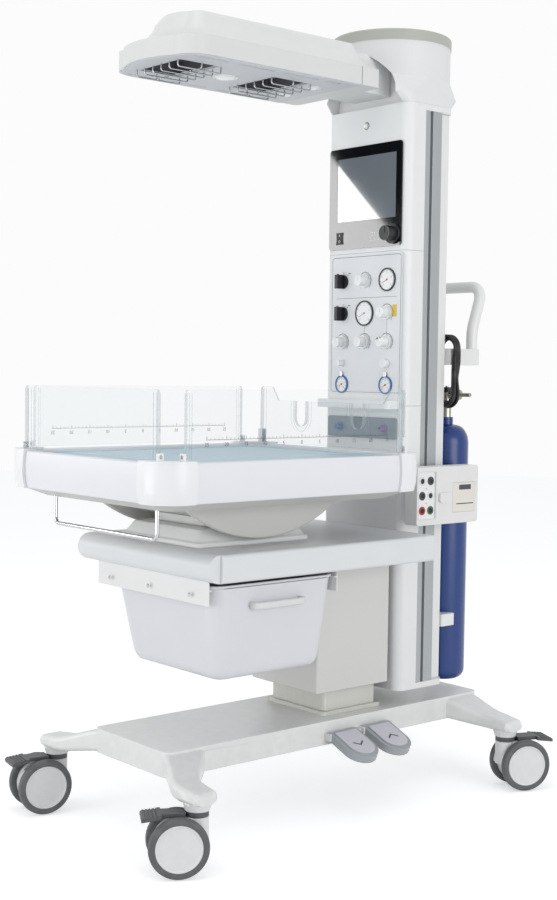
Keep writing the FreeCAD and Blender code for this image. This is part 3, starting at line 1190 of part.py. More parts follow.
def cylinder_body():
    """The gas cylinder, turned about its axis."""
    r = CYL_D / 2.0
    neck = CYL_NECK_D / 2.0
    foot = CYL_FOOT_R
    profile = Part.Wire([
        Part.LineSegment(V(0, 0, CYL_BOTTOM), V(r - foot, 0, CYL_BOTTOM)).toShape(),
        Part.Arc(V(r - foot, 0, CYL_BOTTOM), V(r - foot * 0.29, 0, CYL_BOTTOM + foot * 0.29),
                 V(r, 0, CYL_BOTTOM + foot)).toShape(),
        Part.LineSegment(V(r, 0, CYL_BOTTOM + foot), V(r, 0, CYL_SHOULDER)).toShape(),
        Part.Arc(V(r, 0, CYL_SHOULDER), V(r * 0.74, 0, CYL_SHOULDER + 34.0), V(neck, 0, CYL_SHOULDER + 48.0)).toShape(),
        Part.LineSegment(V(neck, 0, CYL_SHOULDER + 48.0), V(neck, 0, CYL_NECK_Z)).toShape(),
        Part.LineSegment(V(neck, 0, CYL_NECK_Z), V(0, 0, CYL_NECK_Z)).toShape(),
        Part.LineSegment(V(0, 0, CYL_NECK_Z), V(0, 0, CYL_BOTTOM)).toShape(),
    ])
    shape = Part.Face(profile).revolve(V(0, 0, 0), Z_AXIS, 360)
    shape.translate(V(CYL_X, CYL_Y, 0))
    return shape


def cylinder_valve():
    """The cylinder's valve block with its outlet and a regulator."""
    z = VALVE_TOP - 1.0 - VALVE_OUTLET_D / 2.0
    stem = rod(24.0, (CYL_X, CYL_Y, CYL_NECK_Z), (CYL_X, CYL_Y, VALVE_TOP))
    outlet = rod(VALVE_OUTLET_D, (CYL_X, CYL_Y, z), (CYL_X + VALVE_OUTLET_LEN, CYL_Y, z))
    start = HANDWHEEL_D / 2.0 + 3.0
    regulator = rod(26.0, (CYL_X + start, CYL_Y, z), (CYL_X + start + 18.0, CYL_Y, z))
    spindle = rod(8.0, (CYL_X, CYL_Y, VALVE_TOP), (CYL_X, CYL_Y, VALVE_TOP + 16.0))
    return stem.fuse([outlet, regulator, spindle]).removeSplitter()


def cylinder_handwheel():
    """The lobed handwheel on the valve spindle."""
    z0 = VALVE_TOP + SEAT_GAP
    wheel = rod(HANDWHEEL_D, (CYL_X, CYL_Y, z0), (CYL_X, CYL_Y, z0 + 12.0))
    for i in range(6):
        angle = math.radians(60.0 * i)
        x = CYL_X + HANDWHEEL_D * 0.56 * math.cos(angle)
        y = CYL_Y + HANDWHEEL_D * 0.56 * math.sin(angle)
        wheel = wheel.cut(rod(12.0, (x, y, z0 - 1.0), (x, y, z0 + 13.0)))
    return wheel.cut(rod(8.0 + 2 * PIN_CLEARANCE, (CYL_X, CYL_Y, z0 - 1.0), (CYL_X, CYL_Y, z0 + 20.0)))


def cylinder_clamp(z_mid):
    """A forked block on the column's back, hollowed to the cylinder, which two arms hug."""
    r = CYL_D / 2.0
    z0 = z_mid - CLAMP_H / 2.0
    z1 = z_mid + CLAMP_H / 2.0
    half = r + CLAMP_T
    block = slab(CYL_X - half, CYL_X + half, COL_REAR_Y - 8.0, CYL_Y - r + CLAMP_REACH, z0, z1, 4.0)
    block = block.common(box(CYL_X - 200.0, CYL_X + 200.0, COL_REAR_Y, CYL_Y, z0, z1))
    return block.cut(rod(2 * (r + SEAT_GAP), (CYL_X, CYL_Y, z0 - 1.0), (CYL_X, CYL_Y, z1 + 1.0)))


def rear_brackets():
    """What holds the cylinder and lets the cable out: two forked clamps and a cable entry."""
    y1 = COL_REAR_Y
    half = CORD_ENTRY_W / 2.0
    entry = box(CORD_ENTRY_X - half, CORD_ENTRY_X + half, y1, y1 + CORD_ENTRY_T, CORD_ENTRY_Z, CORD_ENTRY_Z + 44.0)
    x, y, z = gland_mouth()
    gland = rod(GLAND_D, (x, y, z), (x, y, CORD_ENTRY_Z))
    return Part.makeCompound([cylinder_clamp(CLAMP_LOW_Z), cylinder_clamp(CLAMP_HIGH_Z), entry.fuse(gland).removeSplitter()])


def gland_mouth():
    """Where the cable leaves the column."""
    return CORD_ENTRY_X, COL_REAR_Y + CORD_ENTRY_T / 2.0, CORD_ENTRY_Z - GLAND_LEN


def coil_middle():
    """The middle of the hank, which hangs on the right arm of the push handle."""
    return PUSH_HALF_W, COL_REAR_Y + COIL_CLEARANCE + COIL_DEPTH / 2.0


def cord_route():
    """The cable's points from the gland to the hank."""
    x0, y0, z0 = gland_mouth()
    x = coil_middle()[0]
    y = COL_REAR_Y + COIL_CLEARANCE + CORD_D / 2.0
    limb_x = x - PUSH_BLOCK_W / 2.0 - COIL_CLEARANCE - COIL_THICK + CORD_D / 2.0
    return [(x0, y0, z0), (x0, y0, z0 - 24.0), (x0 + 10.0, y0 - 1.0, z0 - 48.0), (x0 + 28.0, y0 - 2.0, z0 - 68.0),
            (x0 + 50.0, y0 - 5.0, z0 - 84.0), (limb_x - 6.0, y, z0 - 104.0), (limb_x, y, z0 - 128.0)]


def power_cord():
    """The free stretch of the cable, each bend as large as its runs allow."""
    route = cord_route()
    radii = []
    for before, corner, after in zip(route, route[1:], route[2:]):
        run_in = V(*corner) - V(*before)
        run_out = V(*after) - V(*corner)
        radii.append(0.45 * min(run_in.Length, run_out.Length) / math.tan(run_in.getAngle(run_out) / 2.0))
    print("cord bend radii", [round(radius) for radius in radii])
    return bent_tube(CORD_D, route, radii)


def upright_stadium(r, z_low, z_high, y0, y1):
    """An upright stadium-shaped block about the middle of the hank."""
    x = coil_middle()[0]
    low = rod(2 * r, (x, y0, z_low), (x, y1, z_low))
    high = rod(2 * r, (x, y0, z_high), (x, y1, z_high))
    return low.fuse([high, box(x - r, x + r, y0, y1, z_low, z_high)]).removeSplitter()


def cord_coil():
    """The hanging hank of cable, a long flat ring round the handle's arm."""
    inner_r = PUSH_BLOCK_W / 2.0 + COIL_CLEARANCE
    outer_r = inner_r + COIL_THICK
    y = coil_middle()[1]
    y0 = y - COIL_DEPTH / 2.0
    y1 = y + COIL_DEPTH / 2.0
    z_high = PUSH_FOOT_Z + PUSH_BLOCK_H / 2.0 + SEAT_GAP
    outer = upright_stadium(outer_r, COIL_LOW + outer_r, z_high, y0, y1)
    return outer.cut(upright_stadium(inner_r, COIL_LOW + outer_r, z_high, y0 - 1.0, y1 + 1.0))


def power_plug():
    """The plug, tucked against the hank with its strain relief."""
    x, y = coil_middle()
    face = x - PUSH_BLOCK_W / 2.0 - COIL_CLEARANCE - COIL_THICK
    relief = rod(CORD_D + 4.0, (face - PLUG_RELIEF_LEN, y, PLUG_Z), (face, y, PLUG_Z))
    half = PLUG_W / 2.0
    body = side_slab(COL_REAR_Y + 2.0, COL_REAR_Y + 2.0 + 0.75 * PLUG_W, PLUG_Z - half, PLUG_Z + half,
                     face - PLUG_RELIEF_LEN - PLUG_LEN, face - PLUG_RELIEF_LEN, 7.0)
    return body.fuse(relief).removeSplitter()


def flow_knobs():
    """Name, place and form of the panel's rotary controls."""
    left, middle, right = panel_columns()
    return {
        "air_selector_knob": (bar_knob, left, ROW_1_Z, KNOB_D),
        "suction_knob": (knob, middle, ROW_1_Z, KNOB_D),
        "gas_selector_knob": (bar_knob, left, ROW_2_Z, KNOB_D),
        "pressure_limit_knob": (knob, right, ROW_2_Z, KNOB_D),
        "left_flow_knob": (knob, left, ROW_3_Z, KNOB_D),
        "middle_flow_knob": (knob, middle, ROW_3_Z, KNOB_D),
        "right_flow_knob": (knob, right, ROW_3_Z, KNOB_D),
    }


def bored_front_cover():
    """The front cover with a shaft hole behind each rotary knob."""
    cover = column_front_cover()
    holes = []
    places = [(x, z) for _, x, z, _ in flow_knobs().values()] + [(ENCODER_X, ENCODER_Z)]
    for x, z in places:
        holes.append(rod(KNOB_SHAFT_D + 2 * PIN_CLEARANCE, (x, COL_FRONT_Y - 1, z), (x, COL_FRONT_Y + 8, z)))
    drill = Part.makeCompound(holes)
    return Part.makeCompound([solid.cut(drill) for solid in cover.Solids])


def build_nodes():
    """Every named piece, in the bed-centred layout."""
    nodes = {
        "base_casting": base_casting(),
        "caster_stems": caster_stems(),
        "lift_inner_column": lift_inner_column(),
        "lift_cover_box": lift_cover_box(),
        "column_side_profiles": column_side_profiles(),
        "column_front_cover": bored_front_cover(),
        "column_rear_cover": column_rear_cover(),
        "shelf_body": shelf_body(),
        "shelf_pedestal": shelf_pedestal(),
        "bed_cradle": bed_cradle(),
        "bed_frame": bed_frame(),
        "bed_corner_caps": bed_corner_caps(),
        "mattress": mattress(),
        "right_panel": side_panel(1.0),
        "left_panel": side_panel(-1.0),
        "front_panel": front_panel(),
        "rear_panel": rear_panel(),
        "bed_front_bar": bed_front_bar(),
        "drawer_tub": drawer_tub(),
        "drawer_handle": drawer_handle(),
        "drawer_runners": drawer_runners(),
        "hood_shell": hood_shell(),
        "hood_underside": hood_underside(),
        "heater_reflectors": heater_reflectors(),
        "heater_guards": heater_guards(),
        "turret": turret(),
        "display_unit": display_unit(),
        "rocker_switch": rocker_switch(),
        "gas_panel_fittings": gas_panel_fittings(),
        "module_housing": module_housing(),
        "printer_door": printer_door(),
        "push_handle": push_handle(),
        "cylinder_body": cylinder_body(),
        "cylinder_valve": cylinder_valve(),
        "cylinder_handwheel": cylinder_handwheel(),
        "rear_brackets": rear_brackets(),
        "power_cord": power_cord(),
        "cord_coil": cord_coil(),
        "power_plug": power_plug(),
    }
    nodes["encoder_knob"] = knob(ENCODER_X, ENCODER_Z, ENCODER_D, ENCODER_H, COL_FRONT_Y - BEZEL_T)
    for name, (form, x, z, diameter) in flow_knobs().items():
        nodes[name] = form(x, z, diameter, KNOB_H, COL_FRONT_Y)
    near, far = pedal_centres()
    nodes["lift_down_pedal"] = lift_pedal(near)
    nodes["lift_up_pedal"] = lift_pedal(far)
    housing = caster_housing()
    wheels = caster_wheels()
    brake = caster_brake()
    for name, x, y, turn in caster_places():
        nodes[name + "_caster_housing"] = placed_caster(housing, x, y, turn)
        nodes[name + "_wheels"] = placed_caster(wheels, x, y, turn)
        nodes[name + "_brake"] = placed_caster(brake, x, y, turn)
    return nodes


def export_all():
    """Moves the origin to the footprint's middle and writes one file per piece."""
    os.makedirs("parts", exist_ok=True)
    for name, shape in build_nodes().items():
        piece = shape.copy()
        piece.translate(V(-ORIGIN_X, -ORIGIN_Y, 0))
        piece.exportStep("parts/" + name + ".step")


export_all()
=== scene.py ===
"""Infant radiant warmer: the finishes, printed marks, mattress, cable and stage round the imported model."""

import json
import math

import bmesh
import bpy
import numpy as np
from mathutils import Matrix, Vector


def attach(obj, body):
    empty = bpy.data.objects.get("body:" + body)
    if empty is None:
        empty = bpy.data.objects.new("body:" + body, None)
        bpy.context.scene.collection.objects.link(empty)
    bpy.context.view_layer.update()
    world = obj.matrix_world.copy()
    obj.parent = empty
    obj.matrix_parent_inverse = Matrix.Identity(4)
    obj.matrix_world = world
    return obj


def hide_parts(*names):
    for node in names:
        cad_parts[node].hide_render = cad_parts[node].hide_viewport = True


bl_info = {
    "name": "Infant radiant warmer",
    "version": (1, 0, 0),
    "blender": (4, 5, 0),
    "location": "View3D > Sidebar > Warmer",
    "description": "Dresses the packed warmer with finishes, marks, mattress, cable and a studio stage",
    "category": "Object",
}

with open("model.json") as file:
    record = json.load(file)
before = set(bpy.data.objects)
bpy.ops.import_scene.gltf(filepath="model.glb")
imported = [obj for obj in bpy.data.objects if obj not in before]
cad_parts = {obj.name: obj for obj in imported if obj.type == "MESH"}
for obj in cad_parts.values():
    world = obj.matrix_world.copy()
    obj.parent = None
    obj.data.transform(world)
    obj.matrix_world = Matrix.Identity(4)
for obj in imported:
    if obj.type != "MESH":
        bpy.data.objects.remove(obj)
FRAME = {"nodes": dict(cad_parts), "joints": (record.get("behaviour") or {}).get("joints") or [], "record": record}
NODES = FRAME["nodes"]
JOINTS = {joint["name"]: joint for joint in FRAME["joints"]}
BODY_OF = {node: body for body, nodes in FRAME["record"]["behaviour"]["bodies"].items() for node in nodes}
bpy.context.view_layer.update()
CASTERS = ("front_right", "front_left", "rear_right", "rear_left")

# The photograph's frame and the fitted camera, in the row frame
PHOTO_SIZE = (557, 900)
CAMERA_AT = (2.4815, -2.1508, 1.0132)
CAMERA_YAW = 49.62
CAMERA_PITCH = -3.20
CAMERA_ROLL = 0.76
FOCAL_PIXELS = 1396.8
SENSOR_MM = 36.0


# The bed's middle in the row frame, in millimetres
BED_MIDDLE = (0.0, -223.0, 0.0)


def metres(points):
    """Points in millimetres about the middle of the bed, as metres about the middle of the footprint."""
    return (np.asarray(points, float) + BED_MIDDLE) / 1000.0


def grid_faces(rows, columns, around=False, along=False):
    """The quads of a grid; around joins the last column to the first, along the last row to the first."""
    corner = np.arange(rows * columns).reshape(rows, columns)
    if around:
        corner = np.concatenate([corner, corner[:, :1]], axis=1)
    if along:
        corner = np.concatenate([corner, corner[:1]], axis=0)
    quads = [corner[:-1, :-1], corner[:-1, 1:], corner[1:, 1:], corner[1:, :-1]]
    return np.stack(quads, axis=-1).reshape(-1, 4)


def put_mesh(name, points, faces):
    """A new mesh object at the origin from points in metres and faces."""
    mesh = bpy.data.meshes.new(name)
    mesh.from_pydata(np.asarray(points, float).reshape(-1, 3).tolist(), [], [list(face) for face in faces])
    mesh.update()
    piece = bpy.data.objects.new(name, mesh)
    bpy.context.scene.collection.objects.link(piece)
    return piece


def close_up(piece, angle=35.0, distance=2e-6):
    """Merges doubled points, turns the faces outwards and smooths all but the sharp edges."""
    work = bmesh.new()
    work.from_mesh(piece.data)
    bmesh.ops.remove_doubles(work, verts=work.verts, dist=distance)
    bmesh.ops.dissolve_degenerate(work, dist=distance, edges=work.edges)
    bmesh.ops.recalc_face_normals(work, faces=work.faces)
    work.to_mesh(piece.data)
    work.free()
    piece.data.shade_smooth()
    piece.data.set_sharp_from_angle(angle=math.radians(angle))
    return piece


def turned(name, profile, centre, axis=(0.0, 0.0, 1.0), steps=72, ring=False):
    """A profile of (radius, height) in mm turned about an axis through centre, in metres.

    Each point is centre + height * axis + radius * (cos t * side + sin t * up).
    """
    along = np.array(Vector(axis).normalized())
    side = np.array(Vector(axis).orthogonal().normalized())
    up = np.cross(along, side)
    radius, height = np.asarray(profile, float).T / 1000.0
    t = np.linspace(0.0, 2.0 * np.pi, steps, endpoint=False)
    circle = np.cos(t)[None, :, None] * side + np.sin(t)[None, :, None] * up
    points = np.asarray(centre, float) + height[:, None, None] * along + radius[:, None, None] * circle
    return close_up(put_mesh(name, points, grid_faces(len(radius), steps, around=True, along=ring)))


def swept(name, path, radius, steps=16):
    """A round bar with closed ends along a path in metres.

    Each ring is centre(s) + radius(s) * (cos t * side(s) + sin t * up(s)).
    """
    path = np.asarray(path, float)
    run = np.gradient(path, axis=0)
    run /= np.linalg.norm(run, axis=1)[:, None]
    guide = np.array((0.0, 0.0, 1.0)) if abs(run[:, 2]).max() < 0.98 else np.array((0.31, 0.95, 0.05))
    side = np.cross(run, guide)
    side /= np.linalg.norm(side, axis=1)[:, None]
    up = np.cross(side, run)
    size = np.broadcast_to(np.asarray(radius, float), (len(path),)).copy()
    path = np.concatenate([path[:1], path, path[-1:]])
    side = np.concatenate([side[:1], side, side[-1:]])
    up = np.concatenate([up[:1], up, up[-1:]])
    size = np.concatenate([[0.0], size, [0.0]])
    t = np.linspace(0.0, 2.0 * np.pi, steps, endpoint=False)[None, :, None]
    points = path[:, None] + size[:, None, None] * (np.cos(t) * side[:, None] + np.sin(t) * up[:, None])
    return close_up(put_mesh(name, points, grid_faces(len(path), steps, around=True)))


def rounded_loop(half_w, half_h, corner, steps=8):
    """A rounded rectangle about the origin: each quarter is its corner's middle + corner * (cos a, sin a)."""
    a = np.radians(np.arange(4)[:, None] * 90.0 + np.linspace(0.0, 90.0, steps + 1)[None, :])
    centre_x = np.array((1, -1, -1, 1))[:, None] * (half_w - corner)
    centre_y = np.array((1, 1, -1, -1))[:, None] * (half_h - corner)
    return np.stack([centre_x + corner * np.cos(a), centre_y + corner * np.sin(a)], axis=-1).reshape(-1, 2)


def bars(cells):
    """Flat rectangles from rows of (left, right, low, high)."""
    x0, x1, y0, y1 = np.asarray(cells, float).T
    points = np.stack([np.stack([x0, y0], -1), np.stack([x1, y0], -1), np.stack([x1, y1], -1),
                       np.stack([x0, y1], -1)], axis=1).reshape(-1, 2)
    return points, np.arange(len(points)).reshape(-1, 4)


def flat_ring(x, y, inner, outer, start=0.0, end=360.0, steps=48):
    """A flat ring or a part of one: (x + r cos a, y + r sin a) for r from inner to outer."""
    a = np.radians(np.linspace(start, end, steps + 1))
    r = np.array((outer, inner))[:, None]
    points = np.stack([x + r * np.cos(a), y + r * np.sin(a)], axis=-1).reshape(-1, 2)
    return points, grid_faces(2, steps + 1)


def flat_disc(x, y, radius, steps=48):
    """A flat round face."""
    a = np.linspace(0.0, 2.0 * np.pi, steps, endpoint=False)
    return np.stack([x + radius * np.cos(a), y + radius * np.sin(a)], axis=-1), [np.arange(steps)]


def flat_frame(x0, x1, y0, y1, corner, line):
    """A rounded rectangular line: the outer loop and the same loop moved in by line."""
    middle = np.array(((x0 + x1) / 2.0, (y0 + y1) / 2.0))
    half = np.array(((x1 - x0) / 2.0, (y1 - y0) / 2.0))
    outer = rounded_loop(half[0], half[1], corner) + middle
    inner = rounded_loop(half[0] - line, half[1] - line, max(corner - line, 0.1)) + middle
    return np.concatenate([outer, inner]), grid_faces(2, len(outer), around=True)


def flat_plate(x0, x1, y0, y1, corner):
    """A filled rounded rectangle."""
    middle = ((x0 + x1) / 2.0, (y0 + y1) / 2.0)
    points = rounded_loop((x1 - x0) / 2.0, (y1 - y0) / 2.0, corner) + middle
    return points, [np.arange(len(points))]


def flat_outline(points):
    """One filled outline."""
    return np.asarray(points, float), [np.arange(len(points))]


def pointers(x, y, inner, outer, angles, width):
    """Thin bars along radii at the given angles: middle + r * (cos a, sin a) +- half a width across."""
    a = np.radians(np.asarray(angles, float))
    out = np.stack([np.cos(a), np.sin(a)], -1)
    across = np.stack([-np.sin(a), np.cos(a)], -1) * width / 2.0
    low = np.array((x, y)) + inner * out
    high = np.array((x, y)) + outer * out
    points = np.stack([low - across, high - across, high + across, low + across], axis=1).reshape(-1, 2)
    return points, np.arange(len(points)).reshape(-1, 4)


def numerals(rows, size):
    """Plain numbers as flat faces, from rows of (text, x, y) that give each one's middle."""
    points, faces, count = [], [], 0
    for text, x, y in rows:
        curve = bpy.data.curves.new("numeral", "FONT")
        curve.body = text
        curve.size = size
        curve.align_x = "CENTER"
        curve.align_y = "CENTER"
        curve.resolution_u = 3
        writing = bpy.data.objects.new("numeral", curve)
        mesh = bpy.data.meshes.new_from_object(writing)
        flat = np.zeros(len(mesh.vertices) * 3)
        mesh.vertices.foreach_get("co", flat)
        points.append(flat.reshape(-1, 3)[:, :2] + (x, y))
        faces += [[corner + count for corner in polygon.vertices] for polygon in mesh.polygons]
        count += len(mesh.vertices)
        bpy.data.objects.remove(writing)
        bpy.data.curves.remove(curve)
        bpy.data.meshes.remove(mesh)
    return np.concatenate(points), faces


def printed(name, shapes, origin, right, up, body, finish_name, height=0.15):
    """Flat shapes laid on a face: origin + x * right + y * up, in mm, given a small height."""
    points, faces, count = [], [], 0
    for flat, corners in shapes:
        points.append(flat)
        faces += [[int(corner) + count for corner in face] for face in corners]
        count += len(flat)
    flat = np.concatenate(points)
    place = np.asarray(origin, float) + flat[:, :1] * np.asarray(right) + flat[:, 1:] * np.asarray(up)
    piece = put_mesh(name, metres(place), faces)
    wall = piece.modifiers.new("Thickness", "SOLIDIFY")
    wall.thickness = height / 1000.0
    wall.offset = 1.0
    return dress(piece, body, finish_name)


def on_front(name, shapes, y, finish_name, height, body="carriage"):
    """Flat shapes on a front face at y, in mm."""
    return printed(name, shapes, (0.0, y, 0.0), *FRONT, body, finish_name, height)


def on_right(name, shapes, x, finish_name, height, body="carriage"):
    """Flat shapes on a right face at x, in mm."""
    return printed(name, shapes, (x, 0.0, 0.0), *RIGHT, body, finish_name, height)


def dress(piece, body, finish_name, *nodes):
    """Gives a piece its body, its finish and the nodes that it stands for."""
    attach(piece, body)
    piece.data.materials.clear()
    piece.data.materials.append(finish(finish_name))
    if nodes:
        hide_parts(*nodes)
    return piece


def smooth_copy(node, bevel, finish_name):
    """A merged copy of a node with its edges rounded, which stands for it."""
    mesh = NODES[node].data.copy()
    work = bmesh.new()
    work.from_mesh(mesh)
    bmesh.ops.remove_doubles(work, verts=work.verts, dist=2e-6)
    bmesh.ops.dissolve_limit(work, angle_limit=math.radians(0.6), verts=work.verts, edges=work.edges)
    work.to_mesh(mesh)
    work.free()
    mesh.shade_smooth()
    mesh.set_sharp_from_angle(angle=math.radians(32.0))
    piece = bpy.data.objects.new(node + "_finished", mesh)
    bpy.context.scene.collection.objects.link(piece)
    if bevel > 0.0:
        round_edges(piece, bevel)
    dress(piece, BODY_OF[node], finish_name, node)
    return piece


def round_edges(piece, bevel, segments=2, angle=32.0):
    """Rounds every edge sharper than the angle."""
    rounding = piece.modifiers.new("Edge rounding", "BEVEL")
    rounding.width = bevel / 1000.0
    rounding.segments = segments
    rounding.limit_method = "ANGLE"
    rounding.angle_limit = math.radians(angle)
    facing = piece.modifiers.new("Face normals", "WEIGHTED_NORMAL")
    facing.weight = 80
    facing.keep_sharp = True
    return piece


def shader_group(name, inputs, outputs):
    """A shader node group with these named sockets, and its input and output nodes."""
    tree = bpy.data.node_groups.new(name, "ShaderNodeTree")
    for label, kind, value in inputs:
        socket = tree.interface.new_socket(name=label, in_out="INPUT", socket_type=kind)
        socket.default_value = value
    for label, kind in outputs:
        tree.interface.new_socket(name=label, in_out="OUTPUT", socket_type=kind)
    return tree, tree.nodes.new("NodeGroupInput"), tree.nodes.new("NodeGroupOutput")


def maths(tree, operation, first, second=None, third=None, clamp=False):
    """A maths node on sockets or plain numbers; gives back its result."""
    node = tree.nodes.new("ShaderNodeMath")
    node.operation = operation
    node.use_clamp = clamp
    for socket, value in zip(node.inputs, (first, second, third)):
        if value is None:
            continue
        if isinstance(value, (int, float)):
            socket.default_value = value
        else:
            tree.links.new(value, socket)
    return node.outputs[0]


def noise(tree, place, scale, detail=3.0):
    """A noise texture at a place; scale is a number or a socket."""
    node = tree.nodes.new("ShaderNodeTexNoise")
    node.inputs["Detail"].default_value = detail
    tree.links.new(place, node.inputs["Vector"])
    if isinstance(scale, (int, float)):
        node.inputs["Scale"].default_value = scale
    else:
        tree.links.new(scale, node.inputs["Scale"])
    return node.outputs[0]


def scaled_colour(tree, colour, factor):
    """A colour made lighter or darker by a factor."""
    node = tree.nodes.new("ShaderNodeVectorMath")
    node.operation = "SCALE"
    tree.links.new(colour, node.inputs[0])
    tree.links.new(factor, node.inputs["Scale"])
    return node.outputs[0]


def blended(tree, share, low, high):
    """One colour turning to another by a share."""
    node = tree.nodes.new("ShaderNodeMix")
    node.data_type = "RGBA"
    tree.links.new(share, node.inputs["Factor"])
    for socket, value in ((node.inputs["A"], low), (node.inputs["B"], high)):
        if isinstance(value, (tuple, list)):
            socket.default_value = value
        else:
            tree.links.new(value, socket)
    return node.outputs["Result"]


def moulding_grain_group():
    """Fine moulded grain: a small noise lifts the face, a broad one shifts colour and gloss."""
    tree, entry, out = shader_group("Moulding grain", (
        ("Colour", "NodeSocketColor", (0.8, 0.8, 0.8, 1.0)), ("Roughness", "NodeSocketFloat", 0.4),
        ("Grain scale", "NodeSocketFloat", 1100.0), ("Spread", "NodeSocketFloat", 0.03),
        ("Dust", "NodeSocketFloat", 0.1)), (
        ("Colour", "NodeSocketColor"), ("Roughness", "NodeSocketFloat"), ("Height", "NodeSocketFloat")))
    place = tree.nodes.new("ShaderNodeTexCoord").outputs["Object"]
    fine = noise(tree, place, entry.outputs["Grain scale"], 2.0)
    broad = noise(tree, place, 5.5, 4.0)
    shift = maths(tree, "MULTIPLY", maths(tree, "SUBTRACT", broad, 0.5), entry.outputs["Spread"])
    colour = scaled_colour(tree, entry.outputs["Colour"], maths(tree, "MULTIPLY_ADD", shift, 2.0, 1.0))
    split = tree.nodes.new("ShaderNodeSeparateXYZ")
    tree.links.new(place, split.inputs[0])
    low = maths(tree, "MULTIPLY_ADD", split.outputs["Z"], -2.2, 1.0, clamp=True)
    speck = maths(tree, "MULTIPLY_ADD", noise(tree, place, 46.0, 5.0), 1.6, -0.3, clamp=True)
    dust = maths(tree, "MULTIPLY", maths(tree, "MULTIPLY", low, speck), entry.outputs["Dust"])
    tree.links.new(blended(tree, dust, colour, (0.28, 0.26, 0.24, 1.0)), out.inputs["Colour"])
    gloss = maths(tree, "MULTIPLY", maths(tree, "SUBTRACT", fine, 0.5), 0.14)
    smear = maths(tree, "MULTIPLY_ADD", maths(tree, "SUBTRACT", broad, 0.5), 0.16, entry.outputs["Roughness"])
    tree.links.new(maths(tree, "ADD", gloss, smear, clamp=True), out.inputs["Roughness"])
    tree.links.new(fine, out.inputs["Height"])
    return tree


def brushing_group():
    """Brushed or drawn metal: a noise stretched along one axis."""
    tree, entry, out = shader_group("Brushed metal", (
        ("Colour", "NodeSocketColor", (0.6, 0.6, 0.6, 1.0)), ("Roughness", "NodeSocketFloat", 0.3),
        ("Stretch", "NodeSocketVector", (900.0, 900.0, 9.0)), ("Spread", "NodeSocketFloat", 0.08)), (
        ("Colour", "NodeSocketColor"), ("Roughness", "NodeSocketFloat"), ("Height", "NodeSocketFloat")))
    place = tree.nodes.new("ShaderNodeTexCoord").outputs["Object"]
    pull = tree.nodes.new("ShaderNodeVectorMath")
    pull.operation = "MULTIPLY"
    tree.links.new(place, pull.inputs[0])
    tree.links.new(entry.outputs["Stretch"], pull.inputs[1])
    lines = noise(tree, pull.outputs[0], 1.0, 3.0)
    handled = noise(tree, place, 14.0, 5.0)
    shift = maths(tree, "MULTIPLY", maths(tree, "SUBTRACT", lines, 0.5), entry.outputs["Spread"])
    colour = scaled_colour(tree, entry.outputs["Colour"], maths(tree, "MULTIPLY_ADD", shift, 2.0, 1.0))
    tree.links.new(colour, out.inputs["Colour"])
    gloss = maths(tree, "MULTIPLY_ADD", maths(tree, "SUBTRACT", lines, 0.5), 0.2, entry.outputs["Roughness"])
    smear = maths(tree, "MULTIPLY", maths(tree, "SUBTRACT", handled, 0.5), 0.22)
    tree.links.new(maths(tree, "ADD", gloss, smear, clamp=True), out.inputs["Roughness"])
    tree.links.new(lines, out.inputs["Height"])
    return tree


def rubber_group():
    """Rolled rubber: scuffed paler in patches, with a fine tooth."""
    tree, entry, out = shader_group("Rolled rubber", (
        ("Colour", "NodeSocketColor", (0.2, 0.2, 0.2, 1.0)),
        ("Scuff colour", "NodeSocketColor", (0.45, 0.45, 0.44, 1.0)),
        ("Scuffing", "NodeSocketFloat", 0.5)), (
        ("Colour", "NodeSocketColor"), ("Roughness", "NodeSocketFloat"), ("Height", "NodeSocketFloat")))
    place = tree.nodes.new("ShaderNodeTexCoord").outputs["Object"]
    fine = noise(tree, place, 900.0, 3.0)
    patch = maths(tree, "MULTIPLY_ADD", noise(tree, place, 38.0, 6.0), 3.4, -1.5, clamp=True)
    share = maths(tree, "MULTIPLY", patch, entry.outputs["Scuffing"])
    mixed = blended(tree, share, entry.outputs["Colour"], entry.outputs["Scuff colour"])
    tree.links.new(mixed, out.inputs["Colour"])
    tree.links.new(maths(tree, "MULTIPLY_ADD", share, 0.2, 0.62), out.inputs["Roughness"])
    tree.links.new(fine, out.inputs["Height"])
    return tree


def coated_weave_group():
    """Coated cloth: two crossed sets of fine ribs under a soft, slightly uneven skin."""
    tree, entry, out = shader_group("Coated weave", (
        ("Colour", "NodeSocketColor", (0.5, 0.6, 0.7, 1.0)), ("Thread scale", "NodeSocketFloat", 420.0),
        ("Spread", "NodeSocketFloat", 0.06)), (
        ("Colour", "NodeSocketColor"), ("Roughness", "NodeSocketFloat"), ("Height", "NodeSocketFloat")))
    place = tree.nodes.new("ShaderNodeTexCoord").outputs["Object"]
    ribs = []
    for direction in ("X", "Y"):
        wave = tree.nodes.new("ShaderNodeTexWave")
        wave.bands_direction = direction
        wave.inputs["Distortion"].default_value = 0.6
        wave.inputs["Detail Scale"].default_value = 2.0
        tree.links.new(place, wave.inputs["Vector"])
        tree.links.new(entry.outputs["Thread scale"], wave.inputs["Scale"])
        ribs.append(wave.outputs[1])
    weave = maths(tree, "MULTIPLY", maths(tree, "ADD", ribs[0], ribs[1]), 0.5)
    soft = noise(tree, place, 11.0, 4.0)
    shift = maths(tree, "MULTIPLY", maths(tree, "SUBTRACT", soft, 0.5), entry.outputs["Spread"])
    thread = maths(tree, "MULTIPLY_ADD", maths(tree, "SUBTRACT", weave, 0.5), 0.03, 1.0)
    share = maths(tree, "MULTIPLY_ADD", shift, 2.0, thread)
    tree.links.new(scaled_colour(tree, entry.outputs["Colour"], share), out.inputs["Colour"])
    tree.links.new(maths(tree, "MULTIPLY_ADD", soft, 0.15, 0.42), out.inputs["Roughness"])
    tree.links.new(maths(tree, "MULTIPLY_ADD", soft, 1.5, weave), out.inputs["Height"])
    return tree


